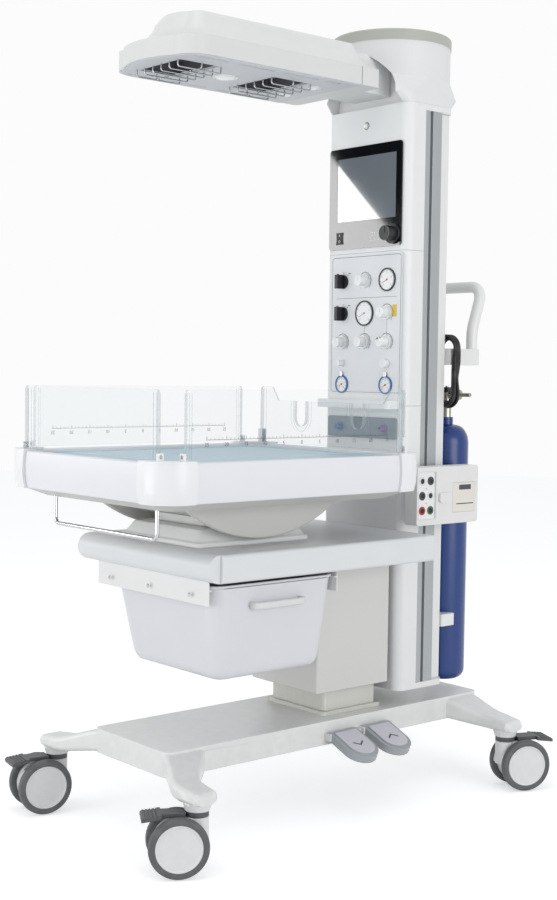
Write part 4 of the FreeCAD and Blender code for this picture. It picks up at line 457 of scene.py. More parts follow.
GROUPS = {
    "Moulding grain": moulding_grain_group,
    "Brushed metal": brushing_group,
    "Rolled rubber": rubber_group,
    "Coated weave": coated_weave_group,
}


def group_tree(name):
    """The named node group, built the first time it is asked for."""
    return bpy.data.node_groups.get(name) or GROUPS[name]()


def eye(red, green, blue):
    """A colour as it looks on screen, 0 to 255, as linear light."""
    share = np.array((red, green, blue)) / 255.0
    light = np.where(share <= 0.04045, share / 12.92, ((share + 0.055) / 1.055) ** 2.4)
    return tuple(float(value) for value in light)


# Finish: record slot, colour property, group, the group's values, bump strength, shader values
GRAIN = "Moulding grain"
METAL = "Brushed metal"
FINISHES = {
    "painted_casting": ("white_paint", "paint", GRAIN,
        {"Roughness": 0.36, "Grain scale": 700.0, "Dust": 0.22},
        0.05, {"Coat Weight": 0.25, "Coat Roughness": 0.2}),
    "white_moulding": ("white_plastic", "white", GRAIN, {"Roughness": 0.4, "Spread": 0.02}, 0.045, {}),
    "hood_moulding": ("white_plastic", "hood", GRAIN, {"Roughness": 0.42, "Spread": 0.03}, 0.06, {}),
    "grey_moulding": ("grey_plastic", "hood", GRAIN, {"Roughness": 0.46}, 0.08, {}),
    "column_steel": ("grey_metal", "steel", METAL,
        {"Roughness": 0.42, "Stretch": (700.0, 700.0, 6.0)}, 0.06, {"Metallic": 0.2}),
    "drawn_aluminium": ("satin_aluminium", "aluminium", METAL,
        {"Roughness": 0.36, "Stretch": (900.0, 900.0, 5.0)}, 0.05, {"Metallic": 0.55}),
    "shelf_moulding": ("light_grey_plastic", "shelf", GRAIN, {"Roughness": 0.42, "Spread": 0.03}, 0.06, {}),
    "pedestal_moulding": ("light_grey_plastic", "white", GRAIN, {"Roughness": 0.4}, 0.06, {}),
    "bed_moulding": ("bed_grey_plastic", "bed", GRAIN, {"Roughness": 0.38, "Spread": 0.02}, 0.05, {}),
    "hull_moulding": ("bed_grey_plastic", "hull", GRAIN, {"Roughness": 0.42}, 0.06, {}),
    "cap_moulding": ("white_plastic", "cap", GRAIN, {"Roughness": 0.34, "Spread": 0.015}, 0.04, {}),
    "coated_cover": ("blue_cover", "cover", "Coated weave", {}, 0.16, {"Sheen Weight": 0.15}),
    "chromed_rod": ("chrome_rod", "chrome", METAL,
        {"Roughness": 0.14, "Spread": 0.04, "Stretch": (400.0, 400.0, 400.0)}, 0.02, {"Metallic": 1.0}),
    "drawer_moulding": ("drawer_plastic", "drawer", GRAIN, {"Roughness": 0.38, "Spread": 0.03}, 0.07, {}),
    "handle_moulding": ("drawer_plastic", "hood", GRAIN, {"Roughness": 0.4}, 0.06, {}),
    "trough_steel": ("reflector_steel", "reflector", METAL,
        {"Roughness": 0.5, "Stretch": (40.0, 600.0, 600.0)}, 0.05, {"Metallic": 0.3}),
    "turret_moulding": ("turret_grey_plastic", "turret", GRAIN,
        {"Roughness": 0.42, "Spread": 0.025}, 0.06, {}),
    "display_gloss": ("black_gloss", "gloss", GRAIN,
        {"Roughness": 0.05, "Spread": 0.05}, 0.002, {}),
    "screen_glass": ("black_gloss", "screen", GRAIN,
        {"Roughness": 0.05, "Spread": 0.05}, 0.001, {"Coat Weight": 1.0, "Coat Roughness": 0.02}),
    "black_moulding": ("black_plastic", "black", GRAIN, {"Roughness": 0.44, "Spread": 0.08}, 0.08, {}),
    "white_fitting": ("white_fittings", "fitting", GRAIN, {"Roughness": 0.34}, 0.04, {}),
    "panel_sheet": ("white_fittings", "panel", GRAIN, {"Roughness": 0.48, "Spread": 0.02}, 0.03, {}),
    "band_moulding": ("white_fittings", "band", GRAIN, {"Roughness": 0.42, "Spread": 0.05}, 0.06, {}),
    "cream_door": ("cream_plastic", "cream", GRAIN, {"Roughness": 0.4}, 0.06, {}),
    "cylinder_paint": ("blue_paint", "cylinder", GRAIN,
        {"Roughness": 0.3, "Spread": 0.12, "Grain scale": 500.0},
        0.06, {"Coat Weight": 0.08, "Coat Roughness": 0.2}),
    "valve_brass": ("brass_valve", "brass", METAL,
        {"Roughness": 0.3, "Stretch": (120.0, 120.0, 120.0)}, 0.06, {"Metallic": 0.9}),
    "cable_skin": ("black_cable", "cable", "Rolled rubber", {"Scuffing": 0.12}, 0.06, {}),
    "pedal_moulding": ("pedal_grey", "pedal", GRAIN,
        {"Roughness": 0.5, "Spread": 0.05, "Grain scale": 600.0}, 0.12, {}),
    "wheel_moulding": ("white_caster_plastic", "wheel", GRAIN, {"Roughness": 0.34, "Dust": 0.12}, 0.04, {}),
    "tyre_rubber": ("grey_tyre", "tyre", "Rolled rubber", {"Scuffing": 0.12}, 0.12, {}),
    "dark_moulding": ("dark_grey_plastic", "dark", GRAIN, {"Roughness": 0.5, "Spread": 0.06}, 0.1, {}),
    "module_moulding": ("dark_grey_plastic", "module", GRAIN,
        {"Roughness": 0.44, "Spread": 0.04}, 0.08, {}),
    "line_ink": ("dark_grey_plastic", "ink", GRAIN, {"Roughness": 0.5}, 0.02, {}),
    "pale_ink": ("dark_grey_plastic", "pale_ink", GRAIN, {"Roughness": 0.5}, 0.02, {}),
    "yellow_patch": ("white_fittings", "yellow", GRAIN, {"Roughness": 0.5}, 0.02, {}),
    "blue_mark": ("white_fittings", "blue", GRAIN, {"Roughness": 0.45}, 0.02, {}),
    "violet_mark": ("white_fittings", "violet", GRAIN, {"Roughness": 0.45}, 0.02, {}),
    "red_mark": ("white_fittings", "red", GRAIN, {"Roughness": 0.45}, 0.02, {}),
    "green_mark": ("white_fittings", "green", GRAIN, {"Roughness": 0.45}, 0.02, {}),
    "cover_paint": ("white_paint", "cover_paint", GRAIN,
        {"Roughness": 0.4, "Grain scale": 700.0}, 0.05, {}),
    "underside_moulding": ("light_grey_plastic", "underside", GRAIN, {"Roughness": 0.44}, 0.05, {}),
    "collar_moulding": ("grey_plastic", "dark", GRAIN, {"Roughness": 0.46}, 0.08, {}),
    "pad_rubber": ("pedal_grey", "pad", GRAIN,
        {"Roughness": 0.55, "Spread": 0.03, "Grain scale": 800.0}, 0.1, {}),
    "fitting_shade": ("white_fittings", "hood", GRAIN, {"Roughness": 0.4}, 0.04, {}),
    "lid_moulding": ("turret_grey_plastic", "lid", GRAIN, {"Roughness": 0.44, "Spread": 0.03}, 0.06, {}),
    "guard_wire": ("reflector_steel", "guard", METAL, {"Roughness": 0.28}, 0.02, {"Metallic": 0.9}),
    "lens": ("clear_acrylic", "lens", GRAIN,
        {"Roughness": 0.12, "Grain scale": 300.0}, 0.05, {"Coat Weight": 1.0, "Coat Roughness": 0.05}),
}


def finish(name):
    """The named finish: a shader fed by its group's colour, roughness and height."""
    if name in bpy.data.materials:
        return bpy.data.materials[name]
    if name in ("clear_panel", "panel_edge"):
        return clear_finish(name)
    _, colour_name, group_name, values, bump, shader_values = FINISHES[name]
    material = bpy.data.materials.new(name)
    material.use_nodes = True
    tree = material.node_tree
    shader = tree.nodes["Principled BSDF"]
    group = tree.nodes.new("ShaderNodeGroup")
    group.node_tree = group_tree(group_name)
    colour = getattr(bpy.context.scene.warmer_colours, colour_name)
    group.inputs["Colour"].default_value = (*colour, 1.0)
    for label, value in values.items():
        group.inputs[label].default_value = value
    tree.links.new(group.outputs["Colour"], shader.inputs["Base Color"])
    tree.links.new(group.outputs["Roughness"], shader.inputs["Roughness"])
    relief = tree.nodes.new("ShaderNodeBump")
    relief.inputs["Strength"].default_value = bump
    relief.inputs["Distance"].default_value = 0.001
    tree.links.new(group.outputs["Height"], relief.inputs["Height"])
    tree.links.new(relief.outputs["Normal"], shader.inputs["Normal"])
    for label, value in shader_values.items():
        shader.inputs[label].default_value = value
    return material


def clear_finish(name):
    """Clear sheet: nearly see-through face on, more veiled at a slant; its sawn edges look tinted."""
    colours = bpy.context.scene.warmer_colours
    edge = name == "panel_edge"
    material = bpy.data.materials.new(name)
    material.use_nodes = True
    tree = material.node_tree
    shader = tree.nodes["Principled BSDF"]
    group = tree.nodes.new("ShaderNodeGroup")
    group.node_tree = group_tree(GRAIN)
    group.inputs["Colour"].default_value = (*(colours.sheet_edge if edge else colours.sheet), 1.0)
    group.inputs["Roughness"].default_value = 0.16 if edge else 0.04
    group.inputs["Spread"].default_value = 0.1
    group.inputs["Dust"].default_value = 0.0
    tree.links.new(group.outputs["Colour"], shader.inputs["Base Color"])
    slant = tree.nodes.new("ShaderNodeLayerWeight")
    slant.inputs["Blend"].default_value = 0.5
    steep = maths(tree, "POWER", slant.outputs["Facing"], 3.0)
    share = maths(tree, "MULTIPLY_ADD", steep, 0.45, 0.42 if edge else 0.05, clamp=True)
    tree.links.new(share, shader.inputs["Alpha"])
    shader.inputs["Roughness"].default_value = 0.15 if edge else 0.03
    material.surface_render_method = "BLENDED"
    return material


def paint_faces(piece, finish_name, low, high):
    """Gives a finish to the faces whose middles lie between two corners, in mm."""
    mesh = piece.data
    middles = np.zeros(len(mesh.polygons) * 3)
    mesh.polygons.foreach_get("center", middles)
    middles = middles.reshape(-1, 3) * 1000.0 - BED_MIDDLE
    chosen = np.all((middles >= low) & (middles <= high), axis=1)
    index = np.zeros(len(mesh.polygons), dtype=np.int32)
    mesh.polygons.foreach_get("material_index", index)
    mesh.materials.append(finish(finish_name))
    index[chosen] = len(mesh.materials) - 1
    mesh.polygons.foreach_set("material_index", index)
    return piece


def lofted(name, rows):
    """A closed skin through loops of equal count, in metres, each end drawn in to its middle."""
    rows = np.asarray(rows, float)
    first = np.repeat(rows[:1].mean(axis=1, keepdims=True), rows.shape[1], axis=1)
    last = np.repeat(rows[-1:].mean(axis=1, keepdims=True), rows.shape[1], axis=1)
    rows = np.concatenate([first, rows, last])
    return close_up(put_mesh(name, rows, grid_faces(len(rows), rows.shape[1], around=True)))


def piped(name, path, radius, steps=10):
    """A closed round bead along a closed path in metres: path + radius * (cos t * side + sin t * up)."""
    path = np.asarray(path, float)
    run = np.roll(path, -1, axis=0) - np.roll(path, 1, axis=0)
    run /= np.linalg.norm(run, axis=1)[:, None]
    up = np.array((0.0, 0.0, 1.0))
    side = np.cross(run, up)
    side /= np.linalg.norm(side, axis=1)[:, None]
    t = np.linspace(0.0, 2.0 * np.pi, steps, endpoint=False)[None, :, None]
    points = path[:, None] + radius * (np.cos(t) * side[:, None] + np.sin(t) * up)
    return close_up(put_mesh(name, points, grid_faces(len(path), steps, around=True, along=True)))


# Where flat marks lie: the front of the column, a right face, a left face and an underside
FRONT = ((1.0, 0.0, 0.0), (0.0, 0.0, 1.0))
RIGHT = ((0.0, 1.0, 0.0), (0.0, 0.0, 1.0))
LEFT = ((0.0, -1.0, 0.0), (0.0, 0.0, 1.0))
BELOW = ((0.0, 1.0, 0.0), (1.0, 0.0, 0.0))

# Rigid nodes that only need rounded edges and a finish: node, edge radius in mm, finish
COLUMN_FORMS = (
    ("lift_inner_column", 1.0, "column_steel"), ("lift_cover_box", 2.5, "cover_paint"),
    ("column_side_profiles", 0.8, "drawn_aluminium"), ("column_front_cover", 2.0, "white_moulding"),
    ("column_rear_cover", 2.5, "painted_casting"), ("push_handle", 1.2, "painted_casting"),
)
BED_FORMS = (
    ("shelf_body", 6.0, "shelf_moulding"), ("shelf_pedestal", 4.0, "pedestal_moulding"),
    ("bed_cradle", 3.0, "hull_moulding"), ("bed_frame", 2.5, "bed_moulding"),
    ("bed_corner_caps", 1.2, "cap_moulding"), ("bed_front_bar", 0.0, "chromed_rod"),
)
DRAWER_FORMS = (
    ("drawer_tub", 1.6, "drawer_moulding"), ("drawer_handle", 3.0, "handle_moulding"),
    ("drawer_runners", 0.8, "painted_casting"),
)
HOOD_FORMS = (
    ("hood_shell", 1.4, "hood_moulding"), ("hood_underside", 1.0, "underside_moulding"),
    ("heater_reflectors", 0.6, "trough_steel"), ("heater_guards", 0.0, "guard_wire"),
    ("turret", 3.0, "turret_moulding"),
)
CONTROL_FORMS = (
    ("air_selector_knob", 1.2, "black_moulding"), ("gas_selector_knob", 1.2, "black_moulding"),
    ("suction_knob", 1.2, "white_fitting"), ("pressure_limit_knob", 1.2, "white_fitting"),
    ("left_flow_knob", 1.2, "white_fitting"), ("middle_flow_knob", 1.2, "white_fitting"),
    ("right_flow_knob", 1.2, "white_fitting"), ("encoder_knob", 1.5, "black_moulding"),
    ("rocker_switch", 0.4, "black_moulding"),
)
CYLINDER_FORMS = (
    ("cylinder_valve", 0.8, "valve_brass"), ("cylinder_handwheel", 1.6, "black_moulding"),
    ("rear_brackets", 1.2, "white_fitting"),
)


def make_forms(rows):
    """Rounded and finished copies of the nodes in a table."""
    scale = bpy.context.scene.warmer_sizes.edge_share
    return {node: smooth_copy(node, bevel * scale, finish_name) for node, bevel, finish_name in rows}


# The cable's way from its gland to the hank, then the hank's turns, in mm about the middle of the bed
CORD_ROUTE = (
    (14.0, 625.0, 1139.0), (14.0, 625.0, 1115.0), (24.0, 624.0, 1091.0), (42.0, 623.0, 1071.0),
    (64.0, 618.0, 1055.0), (83.0, 616.8, 1037.0), (87.8, 616.6, 1012.0),
)
CORD_END = (
    (87.8, 623.9, 1050.0), (87.0, 623.9, 1030.0), (82.0, 623.9, 1014.0), (71.0, 624.0, 1005.5),
    (58.0, 624.0, 1004.0),
)
HANK_X = 120.0
HANK_TOP = 1076.3
# Each turn: radius, depth and middle height of its lower bend, then radius and depth of its upper one
HANK_TURNS = (
    (32.2, 616.6, 966.0, 32.2, 616.6), (24.6, 616.6, 965.0, 24.6, 623.9), (24.6, 623.9, 968.0, 24.6, 631.2),
    (24.6, 631.2, 963.0, 32.2, 631.2), (32.2, 631.2, 963.6, 32.2, 623.9),
)


def half_turn(radius, depth, middle, start):
    """Half a turn of the hank: (x + r cos a, depth, middle + r sin a), a from start through 180 degrees."""
    a = np.radians(np.linspace(start, start + 180.0, 7))
    return np.stack([HANK_X + radius * np.cos(a), np.full(7, depth), middle + radius * np.sin(a)], axis=-1)


def hank_points():
    """The control points of the cable's spline, in mm: the route, five turns and the way into the plug."""
    parts = [np.array(CORD_ROUTE)]
    for turn, (low_r, low_y, low_z, top_r, top_y) in enumerate(HANK_TURNS):
        parts.append(half_turn(low_r, low_y, low_z, 180.0))
        climb_y = top_y if turn == 4 else low_y
        parts.append([(HANK_X + low_r, climb_y, 1000.0), (HANK_X + top_r, climb_y, 1038.0)])
        parts.append(half_turn(top_r, top_y, HANK_TOP, 0.0))
        if turn < 4:
            parts.append([(HANK_X - HANK_TURNS[turn + 1][0], top_y, 1037.0)])
    parts.append(np.array(CORD_END))
    return np.concatenate(parts)


def make_cord():
    """The mains cable with its hank, strain reliefs and plug."""
    sizes = bpy.context.scene.warmer_sizes
    points = metres(hank_points())
    line = bpy.data.curves.new("mains_cable", "CURVE")
    line.dimensions = "3D"
    spline = line.splines.new("NURBS")
    spline.points.add(len(points) - 1)
    spline.points.foreach_set("co", np.concatenate([points, np.ones((len(points), 1))], axis=1).ravel())
    spline.order_u = 3
    spline.use_endpoint_u = True
    spline.resolution_u = 5
    spline.points.foreach_set("radius", np.full(len(points), sizes.cord_diameter / 2.0))
    line.bevel_depth = 1.0
    line.bevel_resolution = 4
    line.use_fill_caps = True
    cable = bpy.data.objects.new("mains_cable", line)
    bpy.context.scene.collection.objects.link(cable)
    dress(cable, "carriage", "cable_skin", "power_cord", "cord_coil")
    drop = np.linspace(0.0, 1.0, 25)
    gland = metres(np.stack([np.full(25, 14.0), np.full(25, 625.0), 1141.0 - 25.0 * drop], axis=-1))
    ribs = 0.45 * np.cos(drop * 2.0 * np.pi * 6.0)
    gland_relief = swept("gland_relief", gland, (6.6 - 2.4 * drop + ribs) / 1000.0, 28)
    dress(gland_relief, "carriage", "cable_skin")
    run = metres(np.stack([76.0 - 22.0 * drop, np.full(25, 624.0), np.full(25, 1004.0)], axis=-1))
    relief = swept("plug_relief", run, (4.3 + 1.6 * drop + ribs * 0.9) / 1000.0, 28)
    dress(relief, "carriage", "cable_skin")
    plug = make_plug()
    return cable


def make_plug():
    """The plug: rounded rectangles along x, waisted for the fingers, with two plain round pins."""
    share = np.linspace(0.0, 1.0, 33)
    waist = 1.0 - 0.16 * np.exp(-((share - 0.45) / 0.16) ** 2)
    ends = np.clip(np.minimum(share, 1.0 - share) * 16.0, 0.0, 1.0) ** 0.4
    size = np.maximum(waist * (0.72 + 0.28 * share) * ends, 0.05)
    grip = 1.0 + 0.02 * np.cos(share * 2.0 * np.pi * 11.0) * (share > 0.25) * (share < 0.7)
    loop = rounded_loop(10.8, 15.2, 8.0, 6)
    x = np.broadcast_to((54.0 - 42.0 * share)[:, None], (33, len(loop)))
    y = 625.8 + loop[None, :, 0] * (size * grip)[:, None]
    z = 1004.0 + loop[None, :, 1] * (size * grip)[:, None]
    plug = lofted("mains_plug", metres(np.stack([x, y, z], axis=-1)))
    dress(plug, "carriage", "cable_skin", "power_plug")
    pins = []
    for z in (1010.5, 997.5):
        path = metres([(13.0, 625.8, z), (4.0, 625.8, z), (-4.0, 625.8, z), (-6.0, 625.8, z)])
        pin = swept(f"plug_pin_{round(z)}", path, (0.0022, 0.0022, 0.0022, 0.0014), 16)
        pins.append(dress(pin, "carriage", "chromed_rod"))
        pin.parent = plug
    return plug


def make_mattress():
    """The mattress: a closed crowned form whose sides pull in between its corners, with a piped edge.

    In plan |x/a|^n + |y/b|^n = 1 with n = 11, evenly spaced. A row's share s of the plan and its height z
    follow a rounded profile from the middle of the top, round the edge and back to the middle of the base.
    """
    half_x, half_y, low, high = 270.6, 333.6, 770.6, 827.6
    a = np.linspace(0.0, 2.0 * np.pi, 4001)
    x = np.sign(np.cos(a)) * np.abs(np.cos(a)) ** (2.0 / 11.0) * half_x
    y = np.sign(np.sin(a)) * np.abs(np.sin(a)) ** (2.0 / 11.0) * half_y
    length = np.concatenate([[0.0], np.cumsum(np.hypot(np.diff(x), np.diff(y)))])
    even = np.linspace(0.0, length[-1], 361)[:-1]
    plan = np.stack([np.interp(even, length, x), np.interp(even, length, y)], axis=-1)
    pull = np.stack([1.8 * np.cos(np.pi * plan[:, 1] / (2.0 * half_y)) ** 2 * np.sign(plan[:, 0]),
                     1.8 * np.cos(np.pi * plan[:, 0] / (2.0 * half_x)) ** 2 * np.sign(plan[:, 1])], axis=-1)
    plan = plan - pull * (np.abs(plan) > (half_x - 14.0, half_y - 14.0))
    bend = np.radians(np.linspace(90.0, 0.0, 7))
    share = np.concatenate([
        np.linspace(0.0, 0.965, 26), 1.0 - 0.03 * (1.0 - np.cos(bend)), np.full(5, 1.0),
        1.0 - 0.03 * (1.0 - np.cos(bend[::-1])), np.linspace(0.95, 0.0, 8)])
    height = np.concatenate([
        high - 1.0 - 3.2 * np.linspace(0.0, 1.0, 26) ** 4, high - 12.0 + 7.5 * np.sin(bend),
        np.linspace(high - 16.0, low + 14.0, 5), low + 9.0 - 8.0 * np.sin(bend[::-1]), np.full(8, low + 0.6)])
    level = np.broadcast_to(height[:, None, None], (len(share), 360, 1))
    surface = np.concatenate([share[:, None, None] * plan[None], level], axis=-1)
    crease = (np.sin(surface[..., 0] / 31.0 + 1.2 * np.sin(surface[..., 1] / 73.0))
              + np.sin(surface[..., 1] / 43.0 + 1.7 * np.cos(surface[..., 0] / 59.0)))
    surface[:26, :, 2] += (0.4 * crease * (1.0 - share[:, None] ** 6))[:26]
    faces = grid_faces(len(share), 360, around=True)
    piece = close_up(put_mesh("mattress_cover", metres(surface), faces), 60.0)
    dress(piece, "bed", "coated_cover", "mattress")
    edge = np.concatenate([plan * (1.0 - 3.2 / half_x), np.full((360, 1), high - 5.0)], axis=-1)
    bead = dress(piped("mattress_piping", metres(edge), 0.0018), "bed", "coated_cover")
    return piece, bead


# Radius and distance from the caster's middle, in mm
TYRE_PROFILE = ((48.6, 25.2), (57.5, 24.6), (60.6, 26.2), (62.0, 29.4), (62.4, 34.2), (62.0, 39.0),
                (60.6, 42.2), (57.5, 43.8), (51.5, 43.9), (48.6, 43.0))
DISC_PROFILE = ((0.0, 25.0), (48.5, 25.0), (48.5, 42.6), (47.6, 43.6), (45.6, 43.6), (44.2, 42.8),
                (43.4, 41.6), (38.0, 41.2), (26.0, 41.4), (12.0, 41.8), (0.0, 42.0))


def make_casters():
    """Turned tyres and dished discs on each caster, its housing and its ribbed brake."""
    for caster in CASTERS:
        roll = JOINTS[caster + "_roll"]
        wheels = caster + "_wheels"
        for side, word in ((1.0, "outer"), (-1.0, "inner")):
            axis = np.array(roll["axis"]) * side
            tyre = turned(f"{caster}_{word}_tyre", TYRE_PROFILE, roll["pos_m"], axis, 96, ring=True)
            disc = turned(f"{caster}_{word}_disc", DISC_PROFILE, roll["pos_m"], axis, 96)
            dress(tyre, BODY_OF[wheels], "tyre_rubber", wheels)
            dress(disc, BODY_OF[wheels], "wheel_moulding")
        smooth_copy(caster + "_caster_housing", 1.6, "wheel_moulding")
        smooth_copy(caster + "_brake", 1.0, "dark_moulding")
        axle = turned(caster + "_axle", ((0.0, -25.5), (4.9, -25.5), (4.9, 25.5), (0.0, 25.5)),
                      roll["pos_m"], roll["axis"], 32)
        dress(axle, BODY_OF[wheels], "chromed_rod")


def chevron(turn):
    """A bold V, or with turn -1 an upside-down one."""
    outline = np.array([(-15.0, 3.0), (0.0, -8.5), (15.0, 3.0), (15.0, 8.0), (0.0, -3.5), (-15.0, 8.0)])
    return flat_outline(outline if turn > 0 else (outline * (1.0, -1.0))[::-1])


def pedal_pad():
    """The pad's outline: straight sides, then half a circle of 33.4 mm about (0, -6) at the outer end."""
    a = np.radians(np.linspace(0.0, -180.0, 25))
    nose = np.stack([33.4 * np.cos(a), -6.0 + 33.4 * np.sin(a)], axis=-1)
    return flat_outline(np.concatenate([[(33.4, 49.5)], nose, [(-33.4, 49.5)]])[::-1])


def make_base():
    """The casting with its legs, the swivel collars and the two lift pedals with their pads and marks."""
    make_forms((("base_casting", 4.0, "painted_casting"), ("caster_stems", 1.0, "collar_moulding")))
    slope = math.radians(22.0)
    up = (-math.cos(slope), 0.0, math.sin(slope))
    for pedal, y, turn in (("lift_down_pedal", 262.0, 1.0), ("lift_up_pedal", 368.0, -1.0)):
        smooth_copy(pedal, 1.6, "pedal_moulding")
        top = np.array((205.6, y, 168.27))
        printed(pedal + "_pad", [pedal_pad()], top, (0.0, 1.0, 0.0), up, pedal, "pad_rubber", 0.2)
        lift = 0.2 * np.array((math.sin(slope), 0.0, math.cos(slope)))
        printed(pedal + "_mark", [chevron(turn)], top + lift, (0.0, 1.0, 0.0), up, pedal, "line_ink")


def make_column():
    """The lift column: inner tube, cover box, side profiles, covers and push handle."""
    make_forms(COLUMN_FORMS)


def make_bed():
    """Shelf, pedestal, cradle, tray with its caps, front bar and clear panels with their rulers."""
    make_forms(BED_FORMS)
    for node in ("right_panel", "left_panel", "front_panel", "rear_panel"):
        piece = smooth_copy(node, 0.8, "white_fitting")
        mesh = piece.data
        mesh.materials.clear()
        mesh.materials.append(finish("clear_panel"))
        mesh.materials.append(finish("panel_edge"))
        thin = 0 if node in ("right_panel", "left_panel") else 1
        normals = np.zeros(len(mesh.polygons) * 3)
        mesh.polygons.foreach_get("normal", normals)
        edge = np.abs(normals.reshape(-1, 3)[:, thin]) < 0.7
        mesh.polygons.foreach_set("material_index", edge.astype(np.int32))
    ticks = np.arange(-250.0, 251.0, 10.0)
    tall = np.where(np.abs(ticks) % 50.0 < 1.0, 7.0, 4.0)
    half = np.where(np.abs(ticks) % 50.0 < 1.0, 0.5, 0.35)
    scale = bars(np.stack([ticks - half, ticks + half, np.full(len(ticks), 877.0), 877.0 + tall], axis=-1))
    rows = [(str(abs(y) // 10), float(y), 867.0) for y in range(-250, 251, 50)]
    rows_left = [(text, -y, z) for text, y, z in rows]
    baseline = bars([(-252.0, 252.0, 876.6, 877.4)])
    on_right("right_ruler", [scale, baseline, numerals(rows, 11.0)], 290.0, "line_ink", 0.1, "right_panel")
    printed("left_ruler", [scale, baseline, numerals(rows_left, 11.0)], (-290.0, 0.0, 0.0), *LEFT,
            "left_panel", "line_ink", 0.1)


SCREW_PROFILE = ((0.0, 0.0), (4.6, 0.0), (4.6, 0.9), (3.4, 2.2), (0.0, 2.6))


def make_drawer():
    """The tub, its handle and runners, and the runners' screws."""
    make_forms(DRAWER_FORMS)
    for x in (-150.0, 0.0, 150.0):
        head = turned(f"runner_screw_{round(x) + 200}", SCREW_PROFILE, metres((x, -185.0, 545.0)),
                      (0.0, -1.0, 0.0), 28)
        dress(head, "carriage", "chromed_rod")


# The underside's vent rows along the hood: start and length
VENT_ROWS = ((-168.0, 92.0), (-48.0, 100.0), (81.0, 99.0), (205.0, 40.0))
LENS_RIM_PROFILE = ((24.0, -1.0), (29.0, -1.0), (29.0, 1.0), (27.5, 2.4), (25.2, 2.4), (24.0, 1.0))
LAMP_PROFILE = ((0.0, -1.0), (15.0, -1.0), (15.0, 1.2), (12.0, 3.6), (0.0, 5.2))


def make_hood():
    """Hood, turret, heaters with guards, vent louvres with painted shade behind them, lens, lamps and seams."""
    turret = make_forms(HOOD_FORMS)["turret"]
    paint_faces(turret, "lid_moulding", (-160.0, 380.0, 1800.5), (160.0, 700.0, 1900.0))
    louvres = []
    for middle in (-123.0, 123.0):
        for start, length in VENT_ROWS:
            louvres += [(y, y + 4.0, middle - 5.2, middle + 5.2)
                        for y in np.arange(start + 1.0, start + length - 4.0, 7.0)]
    # Painted shade: a dark strip behind each vent row stands in for the shadow in the hollow behind the louvres
    shade = [bars([(y, y + length, middle - 5.2, middle + 5.2) for middle in (-123.0, 123.0)
                   for y, length in VENT_ROWS])]
    printed("vent_painted_shade", shade, (0.0, 0.0, 1669.4), *BELOW, "hood", "line_ink", 0.2)
    printed("vent_louvres", [bars(louvres)], (0.0, 0.0, 1669.0), *BELOW, "hood", "underside_moulding", 3.0)
    dome = [(24.0 * math.cos(t), 5.0 * math.sin(t)) for t in np.radians(np.linspace(0.0, 90.0, 9))]
    lens_at = metres((0.0, 13.0, 1666.0))
    lens = turned("hood_lens", [(0.0, -2.0), (24.0, -2.0)] + dome, lens_at, (0.0, 0.0, -1.0), 64)
    dress(lens, "hood", "lens")
    rim = turned("hood_lens_rim", LENS_RIM_PROFILE, lens_at, (0.0, 0.0, -1.0), 64, ring=True)
    dress(rim, "hood", "white_fitting")
    for x in (-52.0, 52.0):
        lamp = turned(f"hood_lamp_{round(x) + 60}", LAMP_PROFILE, metres((x, 232.0, 1666.0)),
                      (0.0, 0.0, -1.0), 40)
        dress(lamp, "hood", "lens")
    seam = [bars([(292.0, 293.4, 1669.0, 1709.0)])]
    on_right("hood_right_seam", seam, 147.0, "line_ink", 0.12, "hood")
    seam = [bars([(-293.4, -292.0, 1669.0, 1709.0)])]
    printed("hood_left_seam", seam, (-147.0, 0.0, 0.0), *LEFT, "hood", "line_ink", 0.12)


def make_display():
    """The display: gloss surround, screen, key outlines and rocker marks."""
    make_forms((("display_unit", 0.0, "display_gloss"),))
    screen = flat_plate(-96.6, 106.6, 1385.4, 1539.6, 1.0)
    on_front("screen_face", [screen], 447.6, "screen_glass", 0.1)
    keys = [flat_frame(20.0, 38.0, 1334.0, 1354.0, 3.0, 0.8),
            flat_frame(48.0, 72.0, 1335.0, 1355.0, 3.0, 0.8)]
    keys += [flat_ring(29.0, 1344.0, 3.0, 3.8), flat_ring(60.0, 1345.0, 4.0, 4.8, 30.0, 330.0)]
    on_front("key_outlines", keys, 447.0, "pale_ink", 0.08)
    marks = [bars([(-87.0, -85.0, 1350.0, 1355.0)]), flat_ring(-86.0, 1338.0, 2.2, 3.2)]
    on_front("rocker_marks", marks, 445.2, "pale_ink", 0.3, "rocker_switch")


def dial_marks(x, z, radius, count):
    """The ticks round a dial, over three quarters of its edge, longer at each fourth one."""
    angles = np.linspace(225.0, -45.0, count)
    return [pointers(x, z, radius - 3.2, radius - 1.2, angles, 0.5),
            pointers(x, z, radius - 4.8, radius - 1.2, angles[::4], 0.8)]


